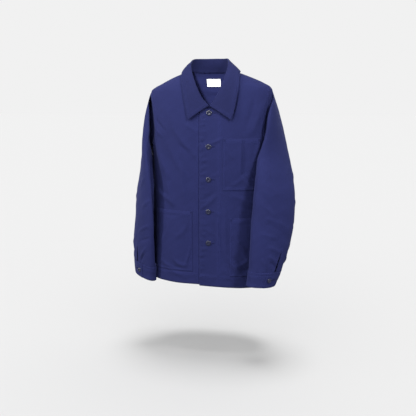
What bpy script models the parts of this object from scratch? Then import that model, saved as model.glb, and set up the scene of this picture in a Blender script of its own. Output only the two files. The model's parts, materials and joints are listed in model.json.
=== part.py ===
"""A navy cotton chore jacket, filled out as if worn, with nobody in it.

Metres, +Z up. The jacket faces -Y and +X is the wearer's left. The origin is where the wearer's
shoulders carry it, midway between the two side-neck points, at their height.

The body is one hollow surface: a flat-sided oval at every drop below the side-neck points. A
place on it is given by its side (1 is the wearer's left, -1 the right), its turn in degrees
(0 at the side seam and along the shoulder, 90 at the centre front, -90 at the centre back) and
its drop. The fronts, the back, the pockets and the label are all cut from that surface.
"""

import bmesh
import bpy
import numpy as np
from mathutils import Vector

WALL = 0.0012  # the cloth
CUFF_WALL = 0.0018  # two layers of cloth with stiffening
SEAM = 0.0003  # between sewn pieces
SEAT = 0.0006  # under what lies on a panel

# Where the jacket is cut, as drops below the side-neck points.
HEM_CENTRE = {1: 0.7238, -1: 0.7205}  # of each front, at its own edge
HEM_SIDE = {1: 0.7270, -1: 0.7150}
HEM_BACK = 0.7220
HEM_BOW = {1: 0.0040, -1: 0.0015}  # how much lower it runs between its own edge and the side
HEM_BOW_ROWS = 4  # the rows of cells over which that fades upwards
ARMPIT = 0.250
SHOULDER_TIP = {1: 0.055, -1: 0.066}  # the wearer's right shoulder is carried lower
COLLAR_MEET = 0.124  # the bottom of the V, at the centre front
BACK_NECK = 0.004
CORNER = 0.003  # from the last row of a front's own edge up to its neckline

# Fronts: each runs past the centre front, the left one over the right one.
OVERLAP = {1: 0.031, -1: 0.034}
LIFT = {1: 0.0012, -1: -0.0014}  # of each front's outer face, from the body surface
LIFT_FADES = (0.045, 0.100)  # distances from the centre front between which that lift fades

# Buttons
BUTTON_RADIUS = 0.0088
BUTTON_HEIGHT = 0.0030
BUTTON_FIRST = 0.137
BUTTON_PITCH = 0.1085
BUTTON_COUNT = 5
CUFF_BUTTON_RADIUS = 0.0072
CUFF_BUTTON_HEIGHT = 0.0026
BUTTON_SIDES = 16

# The number of cells in each grid.
PANEL_COLUMNS = 10
SIDE_ROWS = 15
EDGE_ROWS = 5
NECK_ROWS = 7
BACK_NECK_ROWS = 5
ARMHOLE_ROWS = EDGE_ROWS + NECK_ROWS + 1
SLEEVE_SIDES = 2 * ARMHOLE_ROWS
HEAD_RINGS = 6
SLEEVE_RINGS = 18
COLLAR_FINER = 2  # the collar's stations to each of the neckline's cells
STAND_ROWS = 2
ROLL_ROWS = 4
FALL_ROWS = 4
CUFF_ROWS = 2
POCKET_CELLS = (9, 9)

SQUARENESS = 2.4  # the exponent of the body's oval: 2 is an ellipse, more is flatter in front

# The body's oval, half-width to each side and depth to front and back, at each drop.
BODY_COLUMNS = ("drop", "left", "right", "front", "back")
BODY = (
    (0.000, 0.061, 0.076, 0.032, 0.052),
    (0.008, 0.091, 0.099, 0.037, 0.058),
    (0.020, 0.124, 0.129, 0.044, 0.066),
    (0.040, 0.170, 0.169, 0.054, 0.075),
    (0.055, 0.195, 0.198, 0.060, 0.081),
    (0.066, 0.200, 0.210, 0.064, 0.084),
    (0.090, 0.202, 0.215, 0.070, 0.090),
    (0.130, 0.201, 0.215, 0.078, 0.096),
    (0.190, 0.198, 0.212, 0.086, 0.100),
    (0.250, 0.194, 0.208, 0.090, 0.101),
    (0.350, 0.193, 0.206, 0.092, 0.099),
    (0.500, 0.197, 0.208, 0.093, 0.097),
    (0.730, 0.205, 0.217, 0.095, 0.099),
)

# Soft folds down the body: each is a ridge at a turn, highest midway between its two drops.
# Columns: side, turn, starting drop, ending drop, width in degrees, height.
BODY_FOLDS = (
    (1, -58, 0.10, 0.62, 9, 0.0038),
    (1, -30, 0.36, 1.00, 8, 0.0036),
    (1, -76, 0.44, 1.06, 7, 0.0026),
    (-1, -56, 0.14, 0.70, 9, 0.0036),
    (-1, -28, 0.30, 1.02, 8, 0.0034),
    (-1, -74, 0.50, 1.00, 7, 0.0028),
    (1, 38, 0.14, 0.46, 8, 0.0020),
    (1, 66, 0.56, 1.02, 8, 0.0024),
    (-1, 40, 0.12, 0.44, 8, 0.0024),
    (-1, 62, 0.60, 1.00, 8, 0.0026),
)

# How far the armhole's edge lies in from the body's side, as it runs from tip to armpit.
ARMHOLE_COLUMNS = ("share", "front", "back")
ARMHOLE = (
    (0.00, 0.000, 0.000),
    (0.08, 0.007, 0.006),
    (0.22, 0.015, 0.012),
    (0.45, 0.022, 0.018),
    (0.70, 0.023, 0.021),
    (0.86, 0.017, 0.016),
    (0.95, 0.008, 0.007),
    (1.00, 0.000, 0.000),
)

# The front neckline, from the side-neck point (whose x is the body's) to the centre front.
NECKLINE_COLUMNS = ("share", "inset", "drop")
NECKLINE = (
    (0.00, 0.0000, 0.000),
    (0.14, 0.0015, 0.006),
    (0.28, 0.0040, 0.016),
    (0.43, 0.0085, 0.032),
    (0.58, 0.0165, 0.056),
    (0.72, 0.0290, 0.084),
    (0.86, 0.0470, 0.108),
    (1.00, 0.0690, COLLAR_MEET),
)

# Half of the collar, from centre back to centre front: the roll line at its top, and the outer
# edge of its fall, with how far that lies off the body. Its stand rises from the neckline.
COLLAR_COLUMNS = ("share", "roll_x", "roll_y", "roll_z", "edge_x", "edge_drop", "edge_lift")
COLLAR = (
    (0.00, 0.000, 0.054, 0.0425, 0.000, 0.0100, 0.0080),
    (0.15, 0.029, 0.051, 0.0425, 0.035, 0.0105, 0.0080),
    (0.30, 0.052, 0.037, 0.0420, 0.067, 0.0115, 0.0070),
    (0.42, 0.060, 0.018, 0.0372, 0.086, 0.0098, 0.0066),
    (0.53, 0.062, -0.003, 0.0265, 0.097, 0.0080, 0.0066),
    (0.64, 0.060, -0.025, 0.0090, 0.098, 0.0400, 0.0052),
    (0.75, 0.053, -0.046, -0.0160, 0.093, 0.0750, 0.0042),
    (0.86, 0.034, -0.070, -0.0645, 0.084, 0.1150, 0.0042),
    (0.93, 0.020, -0.077, -0.0905, 0.077, 0.1370, 0.0044),
    (1.00, 0.0015, -0.0825, -0.1135, 0.068, 0.1600, 0.0048),
)
COLLAR_SIDE = 0.53  # the share at which the collar passes the side-neck point
COLLAR_ASIDE = -0.0105  # the roll line's back sits this far towards the wearer's right
EDGE_ASIDE = 0.45  # the fall's edge, this share of that
COLLAR_ROLL = 0.0028  # radius of the turn at the roll line
COLLAR_BULGE = 0.0026  # how far the fall arches off the shoulders
BULGE_UP = 0.35
COLLAR_CLEAR = 0.0034  # the least distance of the fall's face from the body surface in front

# Sleeves: a flattened oval at each drop. x is out from the centre front, turn is that of the
# oval's long axis from straight out towards the front.
SLEEVE_COLUMNS = ("drop", "x", "y", "long", "short", "turn")
SLEEVES = {
    1: (
        (0.290, 0.211, -0.040, 0.069, 0.032, -46),
        (0.340, 0.215, -0.059, 0.073, 0.035, -40),
        (0.400, 0.216, -0.077, 0.077, 0.038, -32),
        (0.480, 0.212, -0.092, 0.079, 0.038, -26),
        (0.560, 0.204, -0.106, 0.074, 0.037, -22),
        (0.640, 0.191, -0.119, 0.062, 0.033, -17),
        (0.702, 0.177, -0.128, 0.051, 0.029, -14),
    ),
    -1: (
        (0.290, 0.229, -0.002, 0.075, 0.022, -78),
        (0.340, 0.232, -0.006, 0.076, 0.025, -71),
        (0.420, 0.233, -0.014, 0.074, 0.030, -60),
        (0.500, 0.235, -0.020, 0.071, 0.032, -54),
        (0.600, 0.241, -0.027, 0.067, 0.031, -49),
        (0.680, 0.241, -0.032, 0.061, 0.029, -46),
        (0.730, 0.239, -0.036, 0.053, 0.027, -44),
    ),
}
SLEEVE_PHASE = 76  # where on the oval angle 0 is, from the outer end of its long axis
SLEEVE_CLEAR = 0.0062  # the least distance of a sleeve from the body surface
# How the cloth sets off from the armhole: outwards, less so over the tip, down, more so over the
# tip, and forwards in front, where it then goes less far out.
HEAD_OUT = 0.80
HEAD_OUT_LOST = 0.42
HEAD_DOWN = 0.45
HEAD_FORWARD = {1: 0.85, -1: -0.25}
HEAD_TURNED = 0.25
HEAD_START = 1.5 * SEAM
CUFF_TOP = {1: 0.648, -1: 0.666}
CUFF_DEPTH = 0.050
CUFF_TILT = {1: 0.0, -1: 0.20}  # the outer side of the end is carried higher
TILT_FROM = 0.50  # the drop from which a sleeve tilts
TILT_RUN = 0.10
SLEEVE_TUCK = 0.010  # how far the sleeve runs down inside its band
CUFF_LAP = 2  # how many of the sleeve's sides the band's outer end passes its inner end by
CUFF_RISE = 3.2  # how many sides before the lap the band's outer end starts to rise
VENT = 0.062  # the slit above the band
VENT_GAPE = 0.0016
VENT_SIDE = {1: -1, -1: 0}  # at which of the sleeve's sides, counted from outside to the front

# Folds round the sleeves: each is a ridge at an angle round the oval, which falls by slope over
# each degree from there, fades over reach degrees and is width across.
# Columns: side, drop, angle, slope, reach, width, height.
SLEEVE_FOLDS = (
    (1, 0.455, 58, -0.00050, 34, 0.017, 0.0046),
    (1, 0.505, 66, -0.00060, 30, 0.016, 0.0042),
    (1, 0.560, 48, -0.00040, 30, 0.018, 0.0034),
    (1, 0.350, 250, 0.00050, 40, 0.020, -0.0050),
    (1, 0.430, 320, 0.00040, 36, 0.018, 0.0040),
    (1, 0.490, 250, 0.00040, 40, 0.018, 0.0040),
    (-1, 0.420, 40, -0.00040, 36, 0.018, 0.0030),
    (-1, 0.480, 330, 0.00050, 36, 0.017, 0.0044),
    (-1, 0.530, 320, 0.00050, 34, 0.017, 0.0040),
    (-1, 0.585, 30, -0.00050, 30, 0.018, 0.0030),
    (-1, 0.340, 300, 0.00050, 40, 0.020, 0.0036),
)

# Patch pockets: side, inner and outer edge from the centre front, top and bottom drop, and how
# far each is full.
POCKETS = {
    "chest_pocket": (1, 0.048, 0.166, 0.219, 0.390, 0.0022),
    "lower_pocket_left": (1, 0.072, 0.186, 0.484, 0.688, 0.0040),
    "lower_pocket_right": (-1, 0.055, 0.190, 0.463, 0.676, 0.0045),
}

POUCH_ROUND = 0.8  # under 1: the pocket is full nearly to its sewn edges
POUCH_FOOT = 8  # how sharply it closes at the bottom
MOUTH_SLACK = 0.35  # how full it is along its open top

LABEL_SIZE = (0.050, 0.029)
LABEL_TOP = 0.021
LABEL_ASIDE = -0.0065
LABEL_WALL = 0.0010
LABEL_SEAT = 0.0016

NAVY = (0.030, 0.034, 0.135)
BUTTON_BLUE = (0.010, 0.011, 0.030)
LABEL_WHITE = (0.80, 0.80, 0.78)


def column(table, columns, name):
    return np.array([row[columns.index(name)] for row in table], float)


def smooth(knots, values, at):
    """A cubic through the table's values that never overshoots them."""
    step = np.diff(knots)
    slope = np.diff(values) / step
    before, after = slope[:-1], slope[1:]
    same_way = before * after > 0
    both = np.where(same_way, before + after, 1.0)
    inner = np.where(same_way, 2 * before * after / both, 0.0)
    tangent = np.concatenate([slope[:1], inner, slope[-1:]])
    at = np.asarray(at, float)
    i = np.clip(np.searchsorted(knots, at, side="right") - 1, 0, len(step) - 1)
    s = np.clip((at - knots[i]) / step[i], 0.0, 1.0)
    return (
        values[i] * (1 + 2 * s) * (1 - s) ** 2
        + values[i + 1] * s**2 * (3 - 2 * s)
        + step[i] * (tangent[i] * s * (1 - s) ** 2 - tangent[i + 1] * s**2 * (1 - s))
    )


def read(table, columns, name, at):
    return smooth(column(table, columns, columns[0]), column(table, columns, name), at)


def half_width(side, drop):
    return read(BODY, BODY_COLUMNS, "left" if side > 0 else "right", drop)


def rounded(value):
    """The oval's cosine or sine, squared off by SQUARENESS."""
    return np.sign(value) * np.abs(value) ** (2 / SQUARENESS)


def body_surface(side, turn, drop):
    turn, drop = np.broadcast_arrays(np.asarray(turn, float), np.asarray(drop, float))
    angle = np.radians(turn)
    front = read(BODY, BODY_COLUMNS, "front", drop)
    back = read(BODY, BODY_COLUMNS, "back", drop)
    x = side * half_width(side, drop) * rounded(np.cos(angle))
    y = -np.where(turn > 0, front, back) * rounded(np.sin(angle))
    out = 1 + body_folds(side, turn, drop) / np.hypot(x, y)
    return np.stack([x * out, y * out, -drop], -1)


def body_folds(side, turn, drop):
    """The height of the body's folds at a place on it."""
    height = 0.0 * turn
    for of_side, at, start, end, width, rise in BODY_FOLDS:
        if of_side == side:
            share = np.clip((drop - start) / (end - start), 0.0, 1.0)
            height = height + rise * np.exp(-(((turn - at) / width) ** 2)) * np.sin(np.pi * share)
    return height


def unit(vectors):
    return vectors / np.linalg.norm(vectors, axis=-1, keepdims=True)


def body_normal(side, turn, drop, turn_step=0.7, drop_step=0.002):
    turn, drop = np.broadcast_arrays(np.asarray(turn, float), np.asarray(drop, float))
    above = np.maximum(drop - drop_step, 0.0)
    along = body_surface(side, turn, drop + drop_step) - body_surface(side, turn, above)
    across = body_surface(side, turn + turn_step, drop) - body_surface(
        side, turn - turn_step, drop
    )
    return -side * unit(np.cross(along, across))


def body_point(side, turn, drop, lift=0.0):
    """A place on the body surface, or off it by lift along its outward normal."""
    lift = np.asarray(lift, float)[..., None]
    return body_surface(side, turn, drop) + lift * body_normal(side, turn, drop)


def turn_at(side, x, drop):
    """The turn at which the body's front is x out from the centre front, on this side."""
    share = np.clip(x / half_width(side, drop), -1.0, 1.0)
    return np.degrees(np.arccos(np.sign(share) * np.abs(share) ** (SQUARENESS / 2)))


def front_lift(side, turn, drop):
    """How far a front's outer face lies off the body surface: only near the centre front."""
    x = side * body_surface(side, turn, drop)[..., 0]
    near, far = LIFT_FADES
    share = np.clip((far - x) / (far - near), 0.0, 1.0)
    return LIFT[side] * share**2 * (3 - 2 * share)


def armhole(side, share, part):
    """(turn, drop) on the armhole's front or back edge: share runs from the tip to the armpit."""
    tip = SHOULDER_TIP[side]
    drop = tip + (ARMPIT - tip) * share
    inset = read(ARMHOLE, ARMHOLE_COLUMNS, part, share)
    turn = turn_at(side, half_width(side, drop) - inset, drop)
    return turn if part == "front" else -turn, drop


def share_round(angle):
    """The share of the way down from the tip, at an angle round the armhole from the tip."""
    return (1 - np.cos(np.radians(angle))) / 2


def front_neck(side, share):
    """(turn, drop) on the front neckline: share runs from the side neck to the centre front."""
    drop = read(NECKLINE, NECKLINE_COLUMNS, "drop", share)
    inset = read(NECKLINE, NECKLINE_COLUMNS, "inset", share)
    reach = half_width(side, 0.0)
    x = reach * (1 - inset / NECKLINE[-1][1])
    return turn_at(side, x, drop), drop


def back_neck(share):
    """(turn, drop) on the back neckline: share runs from the side neck to the centre back."""
    turn = -90.0 * np.asarray(share, float)
    return turn, BACK_NECK * np.sin(np.radians(turn)) ** 2


def ruled(one, other, columns):
    """A grid of (turn, drop) between two edges with the same number of points."""
    share = np.linspace(0, 1, columns + 1)
    one, other = (np.stack(edge, -1)[:, None, :] for edge in (one, other))
    grid = one * (1 - share[:, None]) + other * share[:, None]
    return grid[..., 0], grid[..., 1]


def joined(*pieces):
    """Runs of (turn, drop) set end to end, with each shared point kept once."""
    turns, drops = zip(*pieces)
    return tuple(
        np.concatenate([runs[0]] + [run[1:] for run in runs[1:]]) for runs in (turns, drops)
    )


def material(name, colour, roughness):
    made = bpy.data.materials.new(name)
    made.use_nodes = True
    shader = made.node_tree.nodes["Principled BSDF"]
    shader.inputs["Base Color"].default_value = (*colour, 1.0)
    shader.inputs["Roughness"].default_value = roughness
    return made


def grid_faces(rows, columns, closed=False):
    """The quads of a grid of points, row by row; a closed grid's columns run all the way round."""
    across = columns if closed else columns - 1
    faces = []
    for j in range(rows - 1):
        for i in range(across):
            k = (i + 1) % columns
            corners = (j * columns + i, j * columns + k)
            faces.append((*corners, corners[1] + columns, corners[0] + columns))
    return faces


def link_mesh(name, mesh, cloth):
    mesh.materials.append(cloth)
    obj = bpy.data.objects.new(name, mesh)
    bpy.context.scene.collection.objects.link(obj)
    mesh.shade_smooth()
    mesh.set_sharp_from_angle(angle=np.radians(50))
    return obj


def wall(name, outer, inner, faces, cloth):
    """One closed solid between two layers of points that share their faces.

    Points that lie together in both layers become one, which closes a grid along a seamless edge.
    Both layers split each of their faces along the same diagonal, so they never cross.
    """
    layers = [np.asarray(layer).reshape(-1, 3) for layer in (outer, inner)]
    places = np.round(np.hstack(layers), 6)
    _, first, index = np.unique(places, axis=0, return_index=True, return_inverse=True)
    faces = index.reshape(-1)[np.array(faces)].tolist()
    form = bmesh.new()
    outside, inside = ([form.verts.new(layer[i]) for i in first] for layer in layers)
    edges = [edge for face in faces for edge in zip(face, face[1:] + face[:1])]
    whole = set(edges)
    for a, b, c, d in faces:
        slant = (outside[a].co - outside[c].co).length > (outside[b].co - outside[d].co).length
        for half in ((b, c, d), (d, a, b)) if slant else ((a, b, c), (c, d, a)):
            form.faces.new([outside[i] for i in half])
            form.faces.new([inside[i] for i in reversed(half)])
    for a, b in edges:
        if (b, a) not in whole:
            form.faces.new([outside[b], outside[a], inside[a], inside[b]])
    bmesh.ops.recalc_face_normals(form, faces=form.faces)
    mesh = bpy.data.meshes.new(name)
    form.to_mesh(mesh)
    form.free()
    return link_mesh(name, mesh, cloth)


def layer_normals(points, faces):
    """Unit normals at the points of a layer, averaged from its faces' areas."""
    points = np.asarray(points).reshape(-1, 3)
    normals = np.zeros_like(points)
    corners = np.array(faces)
    across = points[corners[:, 2]] - points[corners[:, 0]]
    along = points[corners[:, 3]] - points[corners[:, 1]]
    for i in range(4):
        np.add.at(normals, corners[:, i], np.cross(across, along))
    return unit(normals)


def seam_shift(points, part):
    """Half a seam's gap between the fronts and the back, along y."""
    aside = -SEAM / 2 if part == "front" else SEAM / 2
    return np.asarray(points) + np.array([0.0, aside, 0.0])


def outside_edge(side, part):
    """(turn, drop) up the side seam and round one half of the armhole to the shoulder tip."""
    drops = np.linspace(HEM_SIDE[side], ARMPIT, SIDE_ROWS + 1)
    around = np.linspace(180, 0, ARMHOLE_ROWS + 1)
    return joined((0 * drops, drops), armhole(side, share_round(around), part))


def front(name, side, cloth):
    """One front: from its own edge past the centre front to the side seam and the armhole."""
    low = np.linspace(HEM_CENTRE[side], ARMPIT, SIDE_ROWS + 1)
    high = np.linspace(ARMPIT, COLLAR_MEET + CORNER, EDGE_ROWS + 1)
    low, high = ((turn_at(side, -OVERLAP[side], drop), drop) for drop in (low, high))
    neck = front_neck(side, np.linspace(1, 0, NECK_ROWS + 1))
    corner = tuple(np.array([high[i][-1], neck[i][0]]) for i in (0, 1))
    centre = joined(low, high, corner, neck)
    turns, drops = ruled(centre, outside_edge(side, "front"), PANEL_COLUMNS)
    share = np.linspace(0, 1, PANEL_COLUMNS + 1)
    fade = np.clip(1 - np.arange(len(drops)) / HEM_BOW_ROWS, 0.0, 1.0)
    drops = drops + HEM_BOW[side] * fade[:, None] * 4 * share * (1 - share)
    outer = body_point(side, turns, drops, front_lift(side, turns, drops))
    inner = outer - WALL * body_normal(side, turns, drops)
    faces = grid_faces(*turns.shape)
    wall(name, seam_shift(outer, "front"), seam_shift(inner, "front"), faces, cloth)


def back(name, cloth):
    """The back in one piece: two halves that meet along the centre back, below the neck."""
    low = np.linspace(HEM_BACK, ARMPIT, SIDE_ROWS + 1)
    high = np.linspace(ARMPIT, BACK_NECK, ARMHOLE_ROWS - BACK_NECK_ROWS + 1)
    low, high = ((np.full(len(drop), -90.0), drop) for drop in (low, high))
    centre = joined(low, high, back_neck(np.linspace(1, 0, BACK_NECK_ROWS + 1)))
    outer, inner, faces = [], [], []
    for side in (1, -1):
        turns, drops = ruled(centre, outside_edge(side, "back"), PANEL_COLUMNS)
        half = body_point(side, turns, drops)
        first = len(outer) * half[..., 0].size
        faces += [
            tuple(first + i for i in face[::side]) for face in grid_faces(*turns.shape)
        ]
        outer.append(half)
        inner.append(half - WALL * body_normal(side, turns, drops))
    wall(name, seam_shift(outer, "back"), seam_shift(inner, "back"), faces, cloth)


def clear_of_body(side, points, gap):
    """The same points, with any that lie nearer the body surface than the gap moved out to it."""
    x, y, z = np.moveaxis(points, -1, 0)
    width = half_width(side, -z) + gap
    depth = read(BODY, BODY_COLUMNS, "front", -z)
    depth = np.where(y < 0, depth, read(BODY, BODY_COLUMNS, "back", -z)) + gap
    inside = (np.abs(x) / width) ** SQUARENESS + (np.abs(y) / depth) ** SQUARENESS
    out = np.clip(inside, 0.0, 1.0) ** (-1 / SQUARENESS)
    return np.stack([x * out, y * out, z], -1)


def sleeve_folds(side, drop, around):
    """The height of the sleeve's folds at a drop, at angles in degrees round its oval."""
    height = 0.0 * around
    for of_side, at, angle, slope, reach, width, rise in SLEEVE_FOLDS:
        if of_side == side:
            turned = (around - angle + 180) % 360 - 180
            off = (drop - at - slope * turned) / width
            height = height + rise * np.exp(-(off**2) - (turned / reach) ** 2)
    return height


def sleeve_ring(side, drop, angles, grow=0.0):
    """Points round the sleeve at a drop. Angle 0 is outside, 90 in front, 180 inside."""
    x, y, long, short, turn = (
        read(SLEEVES[side], SLEEVE_COLUMNS, name, drop) for name in SLEEVE_COLUMNS[1:]
    )
    lean = np.radians(turn)
    around = np.asarray(angles) + SLEEVE_PHASE
    grow = grow + sleeve_folds(side, drop, around)
    out = (long + grow) * np.cos(np.radians(around))
    forward = (short + grow) * np.sin(np.radians(around))
    px = x + out * np.cos(lean) - forward * np.sin(lean)
    py = y - out * np.sin(lean) - forward * np.cos(lean)
    tilt = CUFF_TILT[side] * np.clip((drop - TILT_FROM) / TILT_RUN, 0.0, 1.0)
    points = np.stack([side * px, py, -drop + tilt * (px - x)], -1)
    return clear_of_body(side, points, SLEEVE_CLEAR - grow)


def armhole_ring(side, angles):
    """Points round the armhole, where a sleeve starts. Angle 0 is the shoulder tip."""
    points = []
    for angle in angles % 360:
        part = "front" if angle <= 180 else "back"
        turn, drop = armhole(side, share_round(angle), part)
        points.append(body_surface(side, turn, drop))
    return np.array(points)


def round_angles(side):
    """The angles of the sleeve's sides, from the vent once round to the vent again."""
    return (VENT_SIDE[side] + np.arange(SLEEVE_SIDES + 1)) * 360 / SLEEVE_SIDES


def sleeve_head(side, angles):
    """Rings from the armhole, which the cloth leaves outwards, to the first of the sleeve's own."""
    start = armhole_ring(side, angles)
    end = sleeve_ring(side, SLEEVES[side][0][0], angles)
    forward = np.sin(np.radians(angles))
    over = np.clip(np.cos(np.radians(angles)), 0.0, 1.0)
    out = HEAD_OUT - HEAD_OUT_LOST * over
    out -= HEAD_TURNED * np.clip(forward, 0.0, 1.0) * HEAD_FORWARD[side]
    leave = unit(
        np.stack([side * out, -HEAD_FORWARD[side] * forward, -HEAD_DOWN * (1 + over)], axis=-1)
    )
    chord = np.linalg.norm(end - start, axis=1, keepdims=True)
    rings = []
    for s in steps_to(HEAD_RINGS):
        along = leave * s * (1 - s) ** 2 + np.array([0.0, 0.0, s**2 * (1 - s)])
        ring = start * (1 + 2 * s) * (1 - s) ** 2 + end * s**2 * (3 - 2 * s) + chord * along
        rings.append(clear_of_body(side, ring, SLEEVE_CLEAR * s))
    rings[0] = rings[0] + HEAD_START * leave
    return rings


def inward_normals(rings):
    """Unit vectors into a tube whose last point of each ring is its first again."""
    around = rings[:, :-1]
    faces = grid_faces(*around.shape[:2], closed=True)
    normals = layer_normals(around, faces).reshape(around.shape)
    towards = around.mean(axis=1, keepdims=True) - around
    normals *= np.sign((normals * towards).sum(-1).mean())
    return np.concatenate([normals, normals[:, :1]], axis=1)


def sleeve(name, side, cloth):
    """A tube from the armhole, over the sleeve's head, down to just inside its cuff band."""
    angles = round_angles(side)
    rings = sleeve_head(side, angles)
    drops = np.linspace(
        SLEEVES[side][0][0], CUFF_TOP[side] + SLEEVE_TUCK, SLEEVE_RINGS + 1
    )
    rings = np.array(rings + [sleeve_ring(side, drop, angles) for drop in drops])
    inward = inward_normals(rings)
    below = -rings[:, 0, 2] - (CUFF_TOP[side] - VENT)
    open_share = np.clip(below / VENT, 0.0, 1.0)
    aside = unit(rings[:, 1] - rings[:, 0]) * VENT_GAPE / 2 * open_share[:, None]
    rings[:, 0] += aside
    rings[:, -1] -= aside
    wall(name, rings, rings + WALL * inward, grid_faces(*rings.shape[:2]), cloth)


def cuff_grow(steps):
    """How far the band's outer face lies off the sleeve's, along its run of steps."""
    rise = np.clip((steps - SLEEVE_SIDES + CUFF_RISE) / (CUFF_RISE - 0.2), 0.0, 1.0)
    lap = (CUFF_WALL + SEAT) * rise**2 * (3 - 2 * rise)
    return CUFF_WALL + SEAT + lap


def cuff(name, side, cloth):
    """A band once round the sleeve's end, its outer end buttoned over its inner one."""
    steps = np.arange(SLEEVE_SIDES + CUFF_LAP + 1)
    angles = (VENT_SIDE[side] + steps) * 360 / SLEEVE_SIDES
    drops = CUFF_TOP[side] + np.linspace(0, CUFF_DEPTH, CUFF_ROWS + 1)
    outer = np.array([sleeve_ring(side, d, angles, cuff_grow(steps)) for d in drops])
    inner = np.array(
        [sleeve_ring(side, d, angles, cuff_grow(steps) - CUFF_WALL) for d in drops]
    )
    wall(name, outer, inner, grid_faces(*outer.shape[:2]), cloth)


def collar_half(side):
    """Grids of points on the collar's face, and of the vectors into its cloth, on one side."""
    shares = np.concatenate(
        [
            COLLAR_SIDE * steps_to(COLLAR_FINER * BACK_NECK_ROWS),
            np.linspace(COLLAR_SIDE, 1, COLLAR_FINER * NECK_ROWS + 1),
        ]
    )
    aside = COLLAR_ASIDE * np.clip((1 - shares) / (1 - COLLAR_SIDE), 0.0, 1.0)
    roll = np.stack(
        [read(COLLAR, COLLAR_COLUMNS, name, shares) for name in COLLAR_COLUMNS[1:4]], -1
    )
    edge_x, edge_drop, edge_lift = (
        read(COLLAR, COLLAR_COLUMNS, name, shares) for name in COLLAR_COLUMNS[4:]
    )
    behind = shares < COLLAR_SIDE
    edge_turn = turn_at(side, edge_x + side * EDGE_ASIDE * aside, edge_drop)
    edge = body_point(side, np.where(behind, -edge_turn, edge_turn), edge_drop, edge_lift)
    turns, drops = collar_seat(side, shares, behind)
    lift = np.where(behind, 0.0, front_lift(side, turns, drops))
    seat = body_point(side, turns, drops, lift)
    roll[:, 0] = side * roll[:, 0] + aside
    seat += 2 * SEAM * unit(roll - seat)
    along = unit(np.gradient(roll, axis=0))
    down = unit(unit(across(seat - roll, along)) + unit(across(edge - roll, along)))
    over = unit(across(across(edge - seat, along), down))
    centre = roll + COLLAR_ROLL * down
    rows = [seat + (centre - COLLAR_ROLL * over - seat) * s for s in steps_to(STAND_ROWS)]
    for angle in np.radians(np.linspace(-90, 90, ROLL_ROWS + 1)):
        rows.append(
            centre + COLLAR_ROLL * (over * np.sin(angle) - down * np.cos(angle))
        )
    start = rows.pop()
    bulge = COLLAR_BULGE * unit(over + np.array([0.0, 0.0, BULGE_UP]))
    for s in np.linspace(0, 1, FALL_ROWS + 1):
        rows.append(off_body(side, start + (edge - start) * s + bulge * 4 * s * (1 - s)))
    return np.array(rows).transpose(1, 0, 2)


def off_body(side, points):
    """The same points, with any that lie too near the fronts brought forward."""
    x, y, z = points.T
    share = np.clip(np.abs(x) / half_width(side, -z), 0.0, 1.0)
    depth = read(BODY, BODY_COLUMNS, "front", -z)
    surface = -depth * (1 - share**SQUARENESS) ** (1 / SQUARENESS)
    over_body = (y < 0) & (share < 1) & (z < 0)
    nearest = np.where(over_body, surface - COLLAR_CLEAR, y)
    return np.stack([x, np.minimum(y, nearest), z], -1)


def steps_to(count):
    """The shares of a run in count steps, without its end."""
    return np.linspace(0, 1, count + 1)[:-1]


def across(vectors, axis):
    """The part of each vector that is square to its axis."""
    return vectors - axis * (vectors * axis).sum(-1, keepdims=True)


def collar_seat(side, shares, behind):
    """(turn, drop) on the neckline at the collar's shares."""
    back_turn, back_drop = back_neck(1 - np.clip(shares / COLLAR_SIDE, 0.0, 1.0))
    ahead = np.clip((shares - COLLAR_SIDE) / (1 - COLLAR_SIDE), 0.0, 1.0)
    front_turn, front_drop = front_neck(side, ahead)
    return np.where(behind, back_turn, front_turn), np.where(behind, back_drop, front_drop)


def collar(name, cloth):
    """Stand, roll and fall in one folded strip, from one end of the neckline to the other."""
    left, right = collar_half(1), collar_half(-1)
    face = np.concatenate([right[:0:-1], left])
    faces = grid_faces(*face.shape[:2])
    normals = layer_normals(face, faces).reshape(face.shape)
    top = STAND_ROWS + ROLL_ROWS // 2
    normals *= np.sign(normals[:, top, 2].mean())
    wall(name, face, face - WALL * normals, faces, cloth)


def pocket(name, side, inner, outer, top, bottom, pouch, cloth):
    """A patch on a front, sewn down at its sides and bottom and a little full between them."""
    columns, rows = POCKET_CELLS
    u, v = np.meshgrid(np.linspace(0, 1, columns + 1), np.linspace(0, 1, rows + 1))
    drops = top + (bottom - top) * v
    turns = turn_at(side, inner + (outer - inner) * u, drops)
    slack = MOUTH_SLACK + (1 - MOUTH_SLACK) * np.sin(np.pi * v**POUCH_ROUND)
    full = np.sin(np.pi * u) ** POUCH_ROUND * slack * (1 - v**POUCH_FOOT)
    lift = front_lift(side, turns, drops) + SEAT + pouch * full
    normals = body_normal(side, turns, drops)
    under = body_point(side, turns, drops, lift)
    wall(name, under + WALL * normals, under, grid_faces(rows + 1, columns + 1), cloth)


def label(name, cloth):
    """A bare woven label, hanging inside the back from just below the neckline."""
    width, height = LABEL_SIZE
    x = np.linspace(-width / 2, width / 2, 7) + LABEL_ASIDE
    drops = LABEL_TOP + np.linspace(0, height, 4)
    x, drops = np.meshgrid(x, drops)
    turns = -turn_at(1, x, drops)
    normals = body_normal(1, turns, drops)
    outer = body_point(1, turns, drops, -WALL - LABEL_SEAT)
    wall(name, outer, outer - LABEL_WALL * normals, grid_faces(*x.shape), cloth)


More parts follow.
